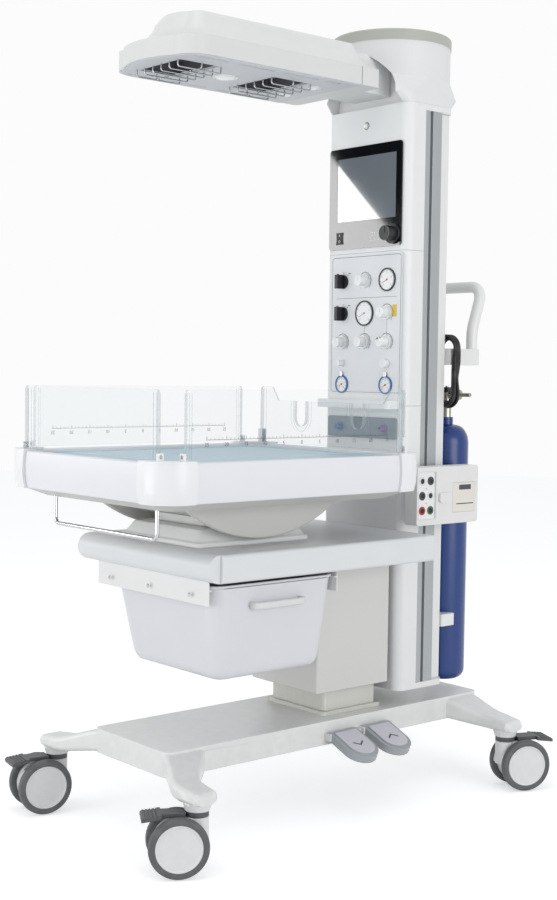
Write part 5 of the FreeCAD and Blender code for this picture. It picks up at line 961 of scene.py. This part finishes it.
def make_gas_panel():
    """The gas panel: fittings, printed lines, dials, ticks round the controls, ledge light and gas ports."""
    fittings = make_forms((("gas_panel_fittings", 0.7, "white_fitting"),))["gas_panel_fittings"]
    paint_faces(fittings, "black_moulding", (50.0, 440.0, 1205.0), (112.0, 451.0, 1271.0))
    paint_faces(fittings, "black_moulding", (-30.0, 440.0, 1125.0), (38.0, 451.0, 1193.0))
    paint_faces(fittings, "blue_mark", (-98.0, 440.0, 960.0), (-48.0, 451.0, 1008.5))
    paint_faces(fittings, "blue_mark", (56.0, 440.0, 960.0), (106.0, 451.0, 1008.5))
    paint_faces(fittings, "chromed_rod", (-98.0, 440.0, 1008.5), (106.0, 451.0, 1018.0))
    paint_faces(fittings, "band_moulding", (-130.0, 440.0, 850.0), (135.0, 451.0, 908.0))
    paint_faces(fittings, "blue_mark", (-90.0, 420.0, 868.0), (-56.0, 445.9, 893.0))
    paint_faces(fittings, "violet_mark", (64.0, 420.0, 868.0), (98.0, 445.9, 893.0))
    on_front("gas_sheet", [flat_plate(-118.0, 131.0, 962.0, 1302.0, 10.0)], 450.0, "panel_sheet", 0.12)
    lines = [flat_frame(-114.0, 127.0, 966.0, 1298.0, 8.0, 1.0), bars([(-97.0, 113.0, 1196.6, 1197.4)]),
             bars([(81.0, 81.6, 1106.0, 1140.0)]), bars([(4.0, 4.6, 1106.0, 1126.0)])]
    on_front("gas_lines", lines, 449.8, "line_ink", 0.1)
    ticks = []
    for x, z in ((-73.0, 1238.0), (-73.0, 1159.0)):
        ticks.append(pointers(x, z, 20.0, 24.0, (45.0, 90.0, 135.0), 1.0))
        ticks.append(bars([(x + 17.0, x + 26.0, z + 19.0, z + 21.0),
                           (x - 26.0, x - 17.0, z + 19.0, z + 21.0)]))
    for x, z in ((4.0, 1238.0), (81.0, 1159.0), (-73.0, 1089.0), (4.0, 1089.0), (81.0, 1089.0)):
        ticks.append(flat_ring(x, z, 20.0, 21.2, -45.0, 200.0))
        ticks.append(pointers(x, z, 21.6, 24.0, np.linspace(-45.0, 225.0, 11), 0.6))
    on_front("control_ticks", ticks, 449.7, "line_ink", 0.1)
    on_front("limit_patch", [flat_plate(99.0, 114.0, 1149.0, 1178.0, 2.0)], 449.75, "yellow_patch", 0.1)
    faces, marks, needles, numbers = [], [], [], []
    for x, z, size in ((81.0, 1238.0, 56.0), (4.0, 1159.0, 62.0), (-73.0, 985.0, 44.0), (81.0, 985.0, 44.0)):
        radius = size / 2.0 - 3.6
        faces.append(flat_disc(x, z, radius))
        marks += dial_marks(x, z, radius, 33)
        needles += [pointers(x, z, -4.0, radius - 5.5, (205.0,), 1.2), flat_disc(x, z, 2.4, 20)]
        a = np.radians(np.linspace(225.0, -45.0, 5))
        reach = radius - 8.0
        numbers += [(str(2 * k), x + reach * math.cos(a[k]), z + reach * math.sin(a[k])) for k in range(5)]
    on_front("dial_faces", faces, 447.9, "white_fitting", 0.1)
    on_front("dial_marks", marks + [numerals(numbers, 4.6)], 447.78, "line_ink", 0.06)
    on_front("dial_needles", needles, 447.6, "red_mark", 0.2)
    on_front("ledge_light", [flat_plate(-121.0, 125.0, 908.5, 927.0, 2.0)], 450.0, "lens", 0.6)
    lamp = [(6.5 * math.cos(t), 3.4 * math.sin(t)) for t in np.radians(np.linspace(0.0, 90.0, 7))]
    glass = turned("alarm_lamp", [(0.0, 0.0), (6.5, 0.0)] + lamp, metres((0.0, 444.0, 1612.0)),
                   (0.0, -1.0, 0.0), 40)
    dress(glass, "carriage", "lens")
    on_front("alarm_ring", [flat_ring(0.0, 1612.0, 7.6, 9.2)], 450.0, "line_ink", 0.3)
    make_forms(CONTROL_FORMS)
    on_front("encoder_ring", [flat_ring(100.0, 1346.0, 16.2, 17.6)], 416.5, "green_mark", 0.3, "encoder_knob")


def make_module():
    """The sensor and printer module: housing, socket plate with its sockets and the painted shade in their holes,
    latch and paper door.
    """
    make_forms((("module_housing", 3.0, "module_moulding"), ("printer_door", 0.8, "cream_door")))
    border = [flat_frame(441.0, 505.0, 666.0, 784.0, 7.0, 2.6)]
    on_right("module_border", border, 204.0, "grey_moulding", 0.3)
    on_right("socket_plate", [flat_plate(444.6, 501.4, 669.6, 780.4, 4.6)], 200.0, "white_fitting", 0.15)
    rims = (("fitting_shade", 459.0, 760.0), ("line_ink", 487.0, 760.0), ("line_ink", 459.0, 725.0),
            ("fitting_shade", 487.0, 725.0), ("red_mark", 459.0, 690.0), ("green_mark", 487.0, 690.0))
    for index, (colour, y, z) in enumerate(rims):
        on_right(f"socket_rim_{index + 1}", [flat_ring(y, z, 6.6, 10.2)], 200.1, colour, 1.4)
    # Painted shade: flat black discs inside the rims stand in for the shadowed depth of the socket holes
    hole_shades = [flat_disc(y, z, 6.4, 28) for _, y, z in rims]
    on_right("socket_hole_shades", hole_shades, 200.15, "black_moulding", 0.2)
    marks = [flat_disc(473.0, z, 2.4, 20) for z in (742.0, 707.0)]
    on_right("socket_marks", marks, 200.1, "yellow_patch", 0.3)
    window = [flat_plate(583.0, 625.0, 735.0, 747.0, 2.0)]
    on_right("printer_window", window, 204.0, "line_ink", 0.15, "printer_door")
    on_right("printer_slot", [bars([(574.0, 634.0, 700.0, 702.4)])], 204.0, "line_ink", 0.15, "printer_door")


def make_cylinder():
    """The gas cylinder, turned from its profile, with its valve, handwheel and brackets."""
    foot = [(33.0 + 24.0 * math.sin(t), 266.0 - 24.0 * math.cos(t))
            for t in np.radians(np.linspace(0.0, 90.0, 13))]
    shoulder = [(17.0 + 40.0 * math.cos(t) ** 0.8, 838.0 + 48.0 * math.sin(t))
                for t in np.radians(np.linspace(0.0, 86.0, 16))]
    profile = [(0.0, 242.0)] + foot + shoulder + [(17.0, 887.0), (17.0, 905.0), (0.0, 905.0)]
    tank = turned("gas_cylinder", profile, metres((62.0, 686.0, 0.0)), (0.0, 0.0, 1.0), 96)
    dress(tank, "carriage", "cylinder_paint", "cylinder_body")
    make_forms(CYLINDER_FORMS)


def place_camera():
    """The camera fitted to the photograph."""
    yaw, pitch, roll = (math.radians(value) for value in (CAMERA_YAW, CAMERA_PITCH, CAMERA_ROLL))
    ahead = Vector((-math.sin(yaw) * math.cos(pitch), math.cos(yaw) * math.cos(pitch), math.sin(pitch)))
    right = Vector((math.cos(yaw), math.sin(yaw), 0.0))
    up = right.cross(ahead)
    tilted_right = right * math.cos(roll) + up * math.sin(roll)
    tilted_up = up * math.cos(roll) - right * math.sin(roll)
    lens = bpy.data.cameras.new("photo_camera")
    lens.sensor_fit = "AUTO"
    lens.sensor_width = SENSOR_MM
    lens.lens = FOCAL_PIXELS / max(PHOTO_SIZE) * SENSOR_MM
    lens.clip_end = 60.0
    camera = bpy.data.objects.new("photo_camera", lens)
    turn = Matrix((tilted_right, tilted_up, -ahead)).transposed()
    camera.matrix_world = Matrix.Translation(CAMERA_AT) @ turn.to_4x4()
    bpy.context.scene.collection.objects.link(camera)
    bpy.context.scene.camera = camera


def area_lamp(name, place, aim, width, height, power):
    """A soft rectangular lamp that faces a point."""
    lamp = bpy.data.lights.new(name, "AREA")
    lamp.shape = "RECTANGLE"
    lamp.size = width
    lamp.size_y = height
    lamp.energy = power * bpy.context.scene.warmer_sizes.light_level
    holder = bpy.data.objects.new(name, lamp)
    holder.location = place
    holder.rotation_euler = (Vector(aim) - Vector(place)).to_track_quat("-Z", "Y").to_euler()
    bpy.context.scene.collection.objects.link(holder)
    return holder


def seen_mask(tree):
    """One where a ray comes from the camera, a mirror or through glass, otherwise nought."""
    path = tree.nodes.new("ShaderNodeLightPath")
    shown = maths(tree, "MAXIMUM", path.outputs["Is Camera Ray"], path.outputs["Is Glossy Ray"])
    return maths(tree, "MAXIMUM", shown, path.outputs["Is Transmission Ray"])


def studio_world():
    """A soft even light all round, which looks nearly white wherever it is seen."""
    world = bpy.data.worlds.new("studio_world")
    bpy.context.scene.world = world
    world.use_nodes = True
    tree = world.node_tree
    tree.nodes.clear()
    soft = tree.nodes.new("ShaderNodeBackground")
    soft.inputs["Color"].default_value = (0.97, 0.985, 1.0, 1.0)
    soft.inputs["Strength"].default_value = bpy.context.scene.warmer_sizes.ambient_level
    seen = tree.nodes.new("ShaderNodeBackground")
    seen.inputs["Color"].default_value = (*bpy.context.scene.warmer_colours.backdrop, 1.0)
    mix = tree.nodes.new("ShaderNodeMixShader")
    tree.links.new(seen_mask(tree), mix.inputs[0])
    tree.links.new(soft.outputs[0], mix.inputs[1])
    tree.links.new(seen.outputs[0], mix.inputs[2])
    out = tree.nodes.new("ShaderNodeOutputWorld")
    tree.links.new(mix.outputs[0], out.inputs["Surface"])


def studio_floor():
    """A wide flat floor, a level disc from its middle outwards, that takes shadows and looks nearly white."""
    floor = put_mesh("studio_floor", *disc_of(11.0))
    material = bpy.data.materials.new("studio_floor")
    material.use_nodes = True
    tree = material.node_tree
    tree.nodes.clear()
    matt = tree.nodes.new("ShaderNodeBsdfDiffuse")
    matt.inputs["Color"].default_value = (0.78, 0.783, 0.788, 1.0)
    glow = tree.nodes.new("ShaderNodeEmission")
    glow.inputs["Color"].default_value = (*bpy.context.scene.warmer_colours.backdrop, 1.0)
    tree.links.new(maths(tree, "MULTIPLY", seen_mask(tree), 0.5), glow.inputs["Strength"])
    both = tree.nodes.new("ShaderNodeAddShader")
    tree.links.new(matt.outputs[0], both.inputs[0])
    tree.links.new(glow.outputs[0], both.inputs[1])
    out = tree.nodes.new("ShaderNodeOutputMaterial")
    tree.links.new(both.outputs[0], out.inputs["Surface"])
    floor.data.materials.append(material)


def disc_of(radius):
    """The points and faces of a level disc on the floor, in rings."""
    r = np.array((0.0, 0.5, 1.5, 4.0, 1.0e3)).clip(0.0, radius)[:, None]
    a = np.linspace(0.0, 2.0 * np.pi, 49)[None, :-1]
    points = np.stack([r * np.cos(a), r * np.sin(a), np.full((5, 48), -0.0004)], axis=-1)
    return points, grid_faces(5, 48, around=True)[:, ::-1]


def make_stage():
    """World, floor, backdrop and lamps."""
    bpy.context.scene.view_settings.view_transform = "Standard"
    studio_world()
    studio_floor()
    area_lamp("front_lamp", (-1.2, -4.4, 1.5), (0.0, 0.0, 0.9), 3.0, 2.4, 40.0)
    area_lamp("low_lamp", (-0.9, -3.6, 0.35), (0.0, 0.2, 1.6), 2.0, 0.6, 20.0)
    area_lamp("right_lamp", (4.6, 0.2, 1.3), (0.0, 0.2, 0.9), 2.6, 2.4, 68.0)
    area_lamp("top_lamp", (0.4, -0.8, 4.6), (0.0, 0.1, 0.8), 2.6, 2.6, 32.0)
    mirror_card("bright_card", ((-3.3, 1.0), (-2.2, 1.318), (-2.678, 1.765), (-3.3, 2.347)), 10.5)
    mirror_card("dark_card", ((-3.3, 2.347), (-2.678, 1.765), (-2.2, 1.318), (-2.0, 2.9), (-3.3, 2.9)), 0.0)


def mirror_card(name, outline, strength):
    """A card in the plane y = -2.5, given by its (x, z) corners, that only mirrors see."""
    card = put_mesh(name, [(x, -2.5, z) for x, z in outline], [range(len(outline))])
    material = bpy.data.materials.new(name)
    material.use_nodes = True
    tree = material.node_tree
    tree.nodes.clear()
    glow = tree.nodes.new("ShaderNodeEmission")
    glow.inputs["Strength"].default_value = strength
    out = tree.nodes.new("ShaderNodeOutputMaterial")
    tree.links.new(glow.outputs[0], out.inputs["Surface"])
    card.data.materials.append(material)
    for rays in ("camera", "diffuse", "transmission", "shadow", "volume_scatter"):
        setattr(card, "visible_" + rays, False)


def tint(name, description, red, green, blue):
    """A colour property, its default given as it looks on screen."""
    return bpy.props.FloatVectorProperty(name=name, description=description, subtype="COLOR", size=3, min=0.0,
                                         max=1.0, default=eye(red, green, blue))


class WarmerColours(bpy.types.PropertyGroup):
    """The colours of the warmer's finishes."""

    paint: tint("Paint", "Base casting, rear cover and push handle", 230, 231, 230)
    cover_paint: tint("Cover paint", "Box round the lift's inner tube", 212, 211, 208)
    white: tint("White moulding", "Front cover and pedestal", 231, 232, 232)
    hood: tint("Hood", "Hood and drawer handle", 220, 221, 220)
    underside: tint("Underside", "Lower panel of the hood", 208, 210, 214)
    steel: tint("Inner tube", "Inner tube and foot plate of the lift", 208, 208, 201)
    aluminium: tint("Aluminium", "Side profiles of the column", 168, 172, 174)
    shelf: tint("Shelf", "Shelf under the bed", 222, 224, 226)
    bed: tint("Bed", "Rim of the bed", 229, 230, 234)
    hull: tint("Hull", "Hull and cradle under the bed", 198, 198, 194)
    cap: tint("Corner caps", "Corner caps of the bed", 236, 236, 238)
    cover: tint("Mattress", "Coated cover of the mattress", 172, 200, 214)
    sheet: tint("Clear sheet", "Clear panels", 215, 226, 230)
    sheet_edge: tint("Sheet edges", "Sawn edges of the clear panels", 176, 188, 192)
    chrome: tint("Chrome", "Front bar, axles and screws", 190, 192, 194)
    drawer: tint("Drawer", "Drawer tub", 218, 219, 224)
    reflector: tint("Reflectors", "Heater troughs", 62, 64, 68)
    guard: tint("Guards", "Heater guard wires", 176, 178, 180)
    turret: tint("Turret", "Swivelling head of the column", 226, 227, 227)
    lid: tint("Turret lid", "Lid on the turret", 178, 180, 172)
    gloss: tint("Display surround", "Gloss surround of the display", 18, 20, 23)
    screen: tint("Screen", "Face of the screen", 116, 123, 129)
    # The black also paints the shade in the module's socket holes
    black: tint("Black", "Black knobs and rims", 24, 25, 27)
    fitting: tint("Fittings", "White knobs, ledge and dials", 233, 234, 234)
    panel: tint("Panel sheet", "Printed sheet of the gas panel", 228, 229, 231)
    band: tint("Port band", "Band that holds the gas ports", 104, 120, 131)
    cream: tint("Paper door", "Door of the printer", 226, 222, 214)
    cylinder: tint("Cylinder", "Gas cylinder", 4, 52, 122)
    brass: tint("Valve", "Cylinder valve", 172, 168, 158)
    cable: tint("Cable", "Cable and plug", 22, 22, 24)
    pedal: tint("Pedals", "Rims of the lift pedals", 165, 170, 175)
    pad: tint("Pedal pads", "Pads of the lift pedals", 206, 206, 214)
    wheel: tint("Wheels", "Wheel discs and caster housings", 226, 227, 227)
    tyre: tint("Tyres", "Caster tyres", 88, 89, 91)
    dark: tint("Brakes", "Caster brakes and swivel collars", 75, 77, 80)
    module: tint("Module", "Sensor and printer module", 226, 226, 224)
    # The dark lines' colour also paints the shade behind the hood's vent louvres
    ink: tint("Dark lines", "Printed lines and ticks", 66, 70, 76)
    pale_ink: tint("Pale lines", "Light lines on dark parts", 236, 238, 240)
    yellow: tint("Yellow", "Yellow mark", 226, 196, 60)
    blue: tint("Blue", "Blue rims and port", 52, 96, 156)
    violet: tint("Violet", "Violet port", 118, 82, 140)
    red: tint("Red", "Needles and ring", 186, 52, 48)
    green: tint("Green", "Ring on the encoder and one socket", 70, 104, 66)
    lens: tint("Lenses", "Lamps and lenses", 240, 241, 240)
    backdrop: tint("Backdrop", "Floor and backdrop", 252, 252, 252)


class WarmerSizes(bpy.types.PropertyGroup):
    """The sizes and levels that a user would change."""

    edge_share: bpy.props.FloatProperty(
        name="Edge rounding", description="Share of the listed edge radii", default=1.0, min=0.0, max=2.0,
        subtype="FACTOR")
    cord_diameter: bpy.props.FloatProperty(
        name="Cable diameter", description="Diameter of the mains cable", default=0.007, min=0.003, max=0.02,
        unit="LENGTH")
    cord_length: bpy.props.FloatProperty(
        name="Cable length", description="Length of the mains cable", default=2.16, min=0.5, max=6.0,
        unit="LENGTH")
    light_level: bpy.props.FloatProperty(
        name="Lamps", description="Share of the lamps' power", default=1.0, min=0.0, max=4.0)
    ambient_level: bpy.props.FloatProperty(
        name="Ambient", description="Strength of the even light", default=0.6, min=0.0, max=2.0)


class WARMER_OT_camera(bpy.types.Operator):
    """Places the camera"""

    bl_idname = "warmer.camera"
    bl_label = "Camera"
    bl_options = {"REGISTER", "UNDO"}

    def execute(self, context):
        place_camera()
        return {"FINISHED"}


class WARMER_OT_cord(bpy.types.Operator):
    """Makes the mains cable with its hank and plug"""

    bl_idname = "warmer.cord"
    bl_label = "Mains cable"
    bl_options = {"REGISTER", "UNDO"}

    def execute(self, context):
        make_cord()
        return {"FINISHED"}


class WARMER_OT_mattress(bpy.types.Operator):
    """Makes the padded mattress and its piping"""

    bl_idname = "warmer.mattress"
    bl_label = "Mattress"
    bl_options = {"REGISTER", "UNDO"}

    def execute(self, context):
        make_mattress()
        return {"FINISHED"}


class WARMER_OT_base(bpy.types.Operator):
    """Finishes the casting, the collars and the lift pedals"""

    bl_idname = "warmer.base"
    bl_label = "Base"
    bl_options = {"REGISTER", "UNDO"}

    def execute(self, context):
        make_base()
        return {"FINISHED"}


class WARMER_OT_casters(bpy.types.Operator):
    """Makes the tyres and discs and finishes housings and brakes"""

    bl_idname = "warmer.casters"
    bl_label = "Casters"
    bl_options = {"REGISTER", "UNDO"}

    def execute(self, context):
        make_casters()
        return {"FINISHED"}


class WARMER_OT_column(bpy.types.Operator):
    """Finishes the lift column and the push handle"""

    bl_idname = "warmer.column"
    bl_label = "Column"
    bl_options = {"REGISTER", "UNDO"}

    def execute(self, context):
        make_column()
        return {"FINISHED"}


class WARMER_OT_bed(bpy.types.Operator):
    """Finishes the bed, the shelf and the clear panels"""

    bl_idname = "warmer.bed"
    bl_label = "Bed"
    bl_options = {"REGISTER", "UNDO"}

    def execute(self, context):
        make_bed()
        return {"FINISHED"}


class WARMER_OT_drawer(bpy.types.Operator):
    """Finishes the drawer and its runners"""

    bl_idname = "warmer.drawer"
    bl_label = "Drawer"
    bl_options = {"REGISTER", "UNDO"}

    def execute(self, context):
        make_drawer()
        return {"FINISHED"}


class WARMER_OT_hood(bpy.types.Operator):
    """Finishes the hood, the heaters and the turret"""

    bl_idname = "warmer.hood"
    bl_label = "Hood"
    bl_options = {"REGISTER", "UNDO"}

    def execute(self, context):
        make_hood()
        return {"FINISHED"}


class WARMER_OT_display(bpy.types.Operator):
    """Finishes the display and its keys"""

    bl_idname = "warmer.display"
    bl_label = "Display"
    bl_options = {"REGISTER", "UNDO"}

    def execute(self, context):
        make_display()
        return {"FINISHED"}


class WARMER_OT_gas_panel(bpy.types.Operator):
    """Finishes the gas panel, its dials and its controls"""

    bl_idname = "warmer.gas_panel"
    bl_label = "Gas panel"
    bl_options = {"REGISTER", "UNDO"}

    def execute(self, context):
        make_gas_panel()
        return {"FINISHED"}


class WARMER_OT_module(bpy.types.Operator):
    """Finishes the sensor and printer module"""

    bl_idname = "warmer.module"
    bl_label = "Module"
    bl_options = {"REGISTER", "UNDO"}

    def execute(self, context):
        make_module()
        return {"FINISHED"}


class WARMER_OT_cylinder(bpy.types.Operator):
    """Makes the gas cylinder and finishes its valve and brackets"""

    bl_idname = "warmer.cylinder"
    bl_label = "Gas cylinder"
    bl_options = {"REGISTER", "UNDO"}

    def execute(self, context):
        make_cylinder()
        return {"FINISHED"}


class WARMER_OT_stage(bpy.types.Operator):
    """Makes the floor, the backdrop and the lamps"""

    bl_idname = "warmer.stage"
    bl_label = "Stage"
    bl_options = {"REGISTER", "UNDO"}

    def execute(self, context):
        make_stage()
        return {"FINISHED"}


OPERATORS = (
    WARMER_OT_camera, WARMER_OT_cord, WARMER_OT_mattress, WARMER_OT_base, WARMER_OT_casters,
    WARMER_OT_column, WARMER_OT_bed, WARMER_OT_drawer, WARMER_OT_hood, WARMER_OT_display,
    WARMER_OT_gas_panel, WARMER_OT_module, WARMER_OT_cylinder, WARMER_OT_stage,
)


class WARMER_PT_pieces(bpy.types.Panel):
    """Lists the makers, the sizes and the colours of the warmer."""

    bl_label = "Infant radiant warmer"
    bl_idname = "WARMER_PT_pieces"
    bl_space_type = "VIEW_3D"
    bl_region_type = "UI"
    bl_category = "Warmer"

    def draw(self, context):
        layout = self.layout
        for operator in OPERATORS:
            layout.operator(operator.bl_idname)
        for group in (context.scene.warmer_sizes, context.scene.warmer_colours):
            for label in group.bl_rna.properties.keys():
                if label not in ("rna_type", "name"):
                    layout.prop(group, label)


CLASSES = (WarmerColours, WarmerSizes, *OPERATORS, WARMER_PT_pieces)


def register():
    for item in CLASSES:
        bpy.utils.register_class(item)
    bpy.types.Scene.warmer_colours = bpy.props.PointerProperty(type=WarmerColours)
    bpy.types.Scene.warmer_sizes = bpy.props.PointerProperty(type=WarmerSizes)


def unregister():
    del bpy.types.Scene.warmer_sizes
    del bpy.types.Scene.warmer_colours
    for item in reversed(CLASSES):
        bpy.utils.unregister_class(item)


def main():
    """Makes every piece in order."""
    register()
    for operator in OPERATORS:
        getattr(bpy.ops.warmer, operator.bl_idname.split(".")[1])()


if __name__ == "__main__":
    main()
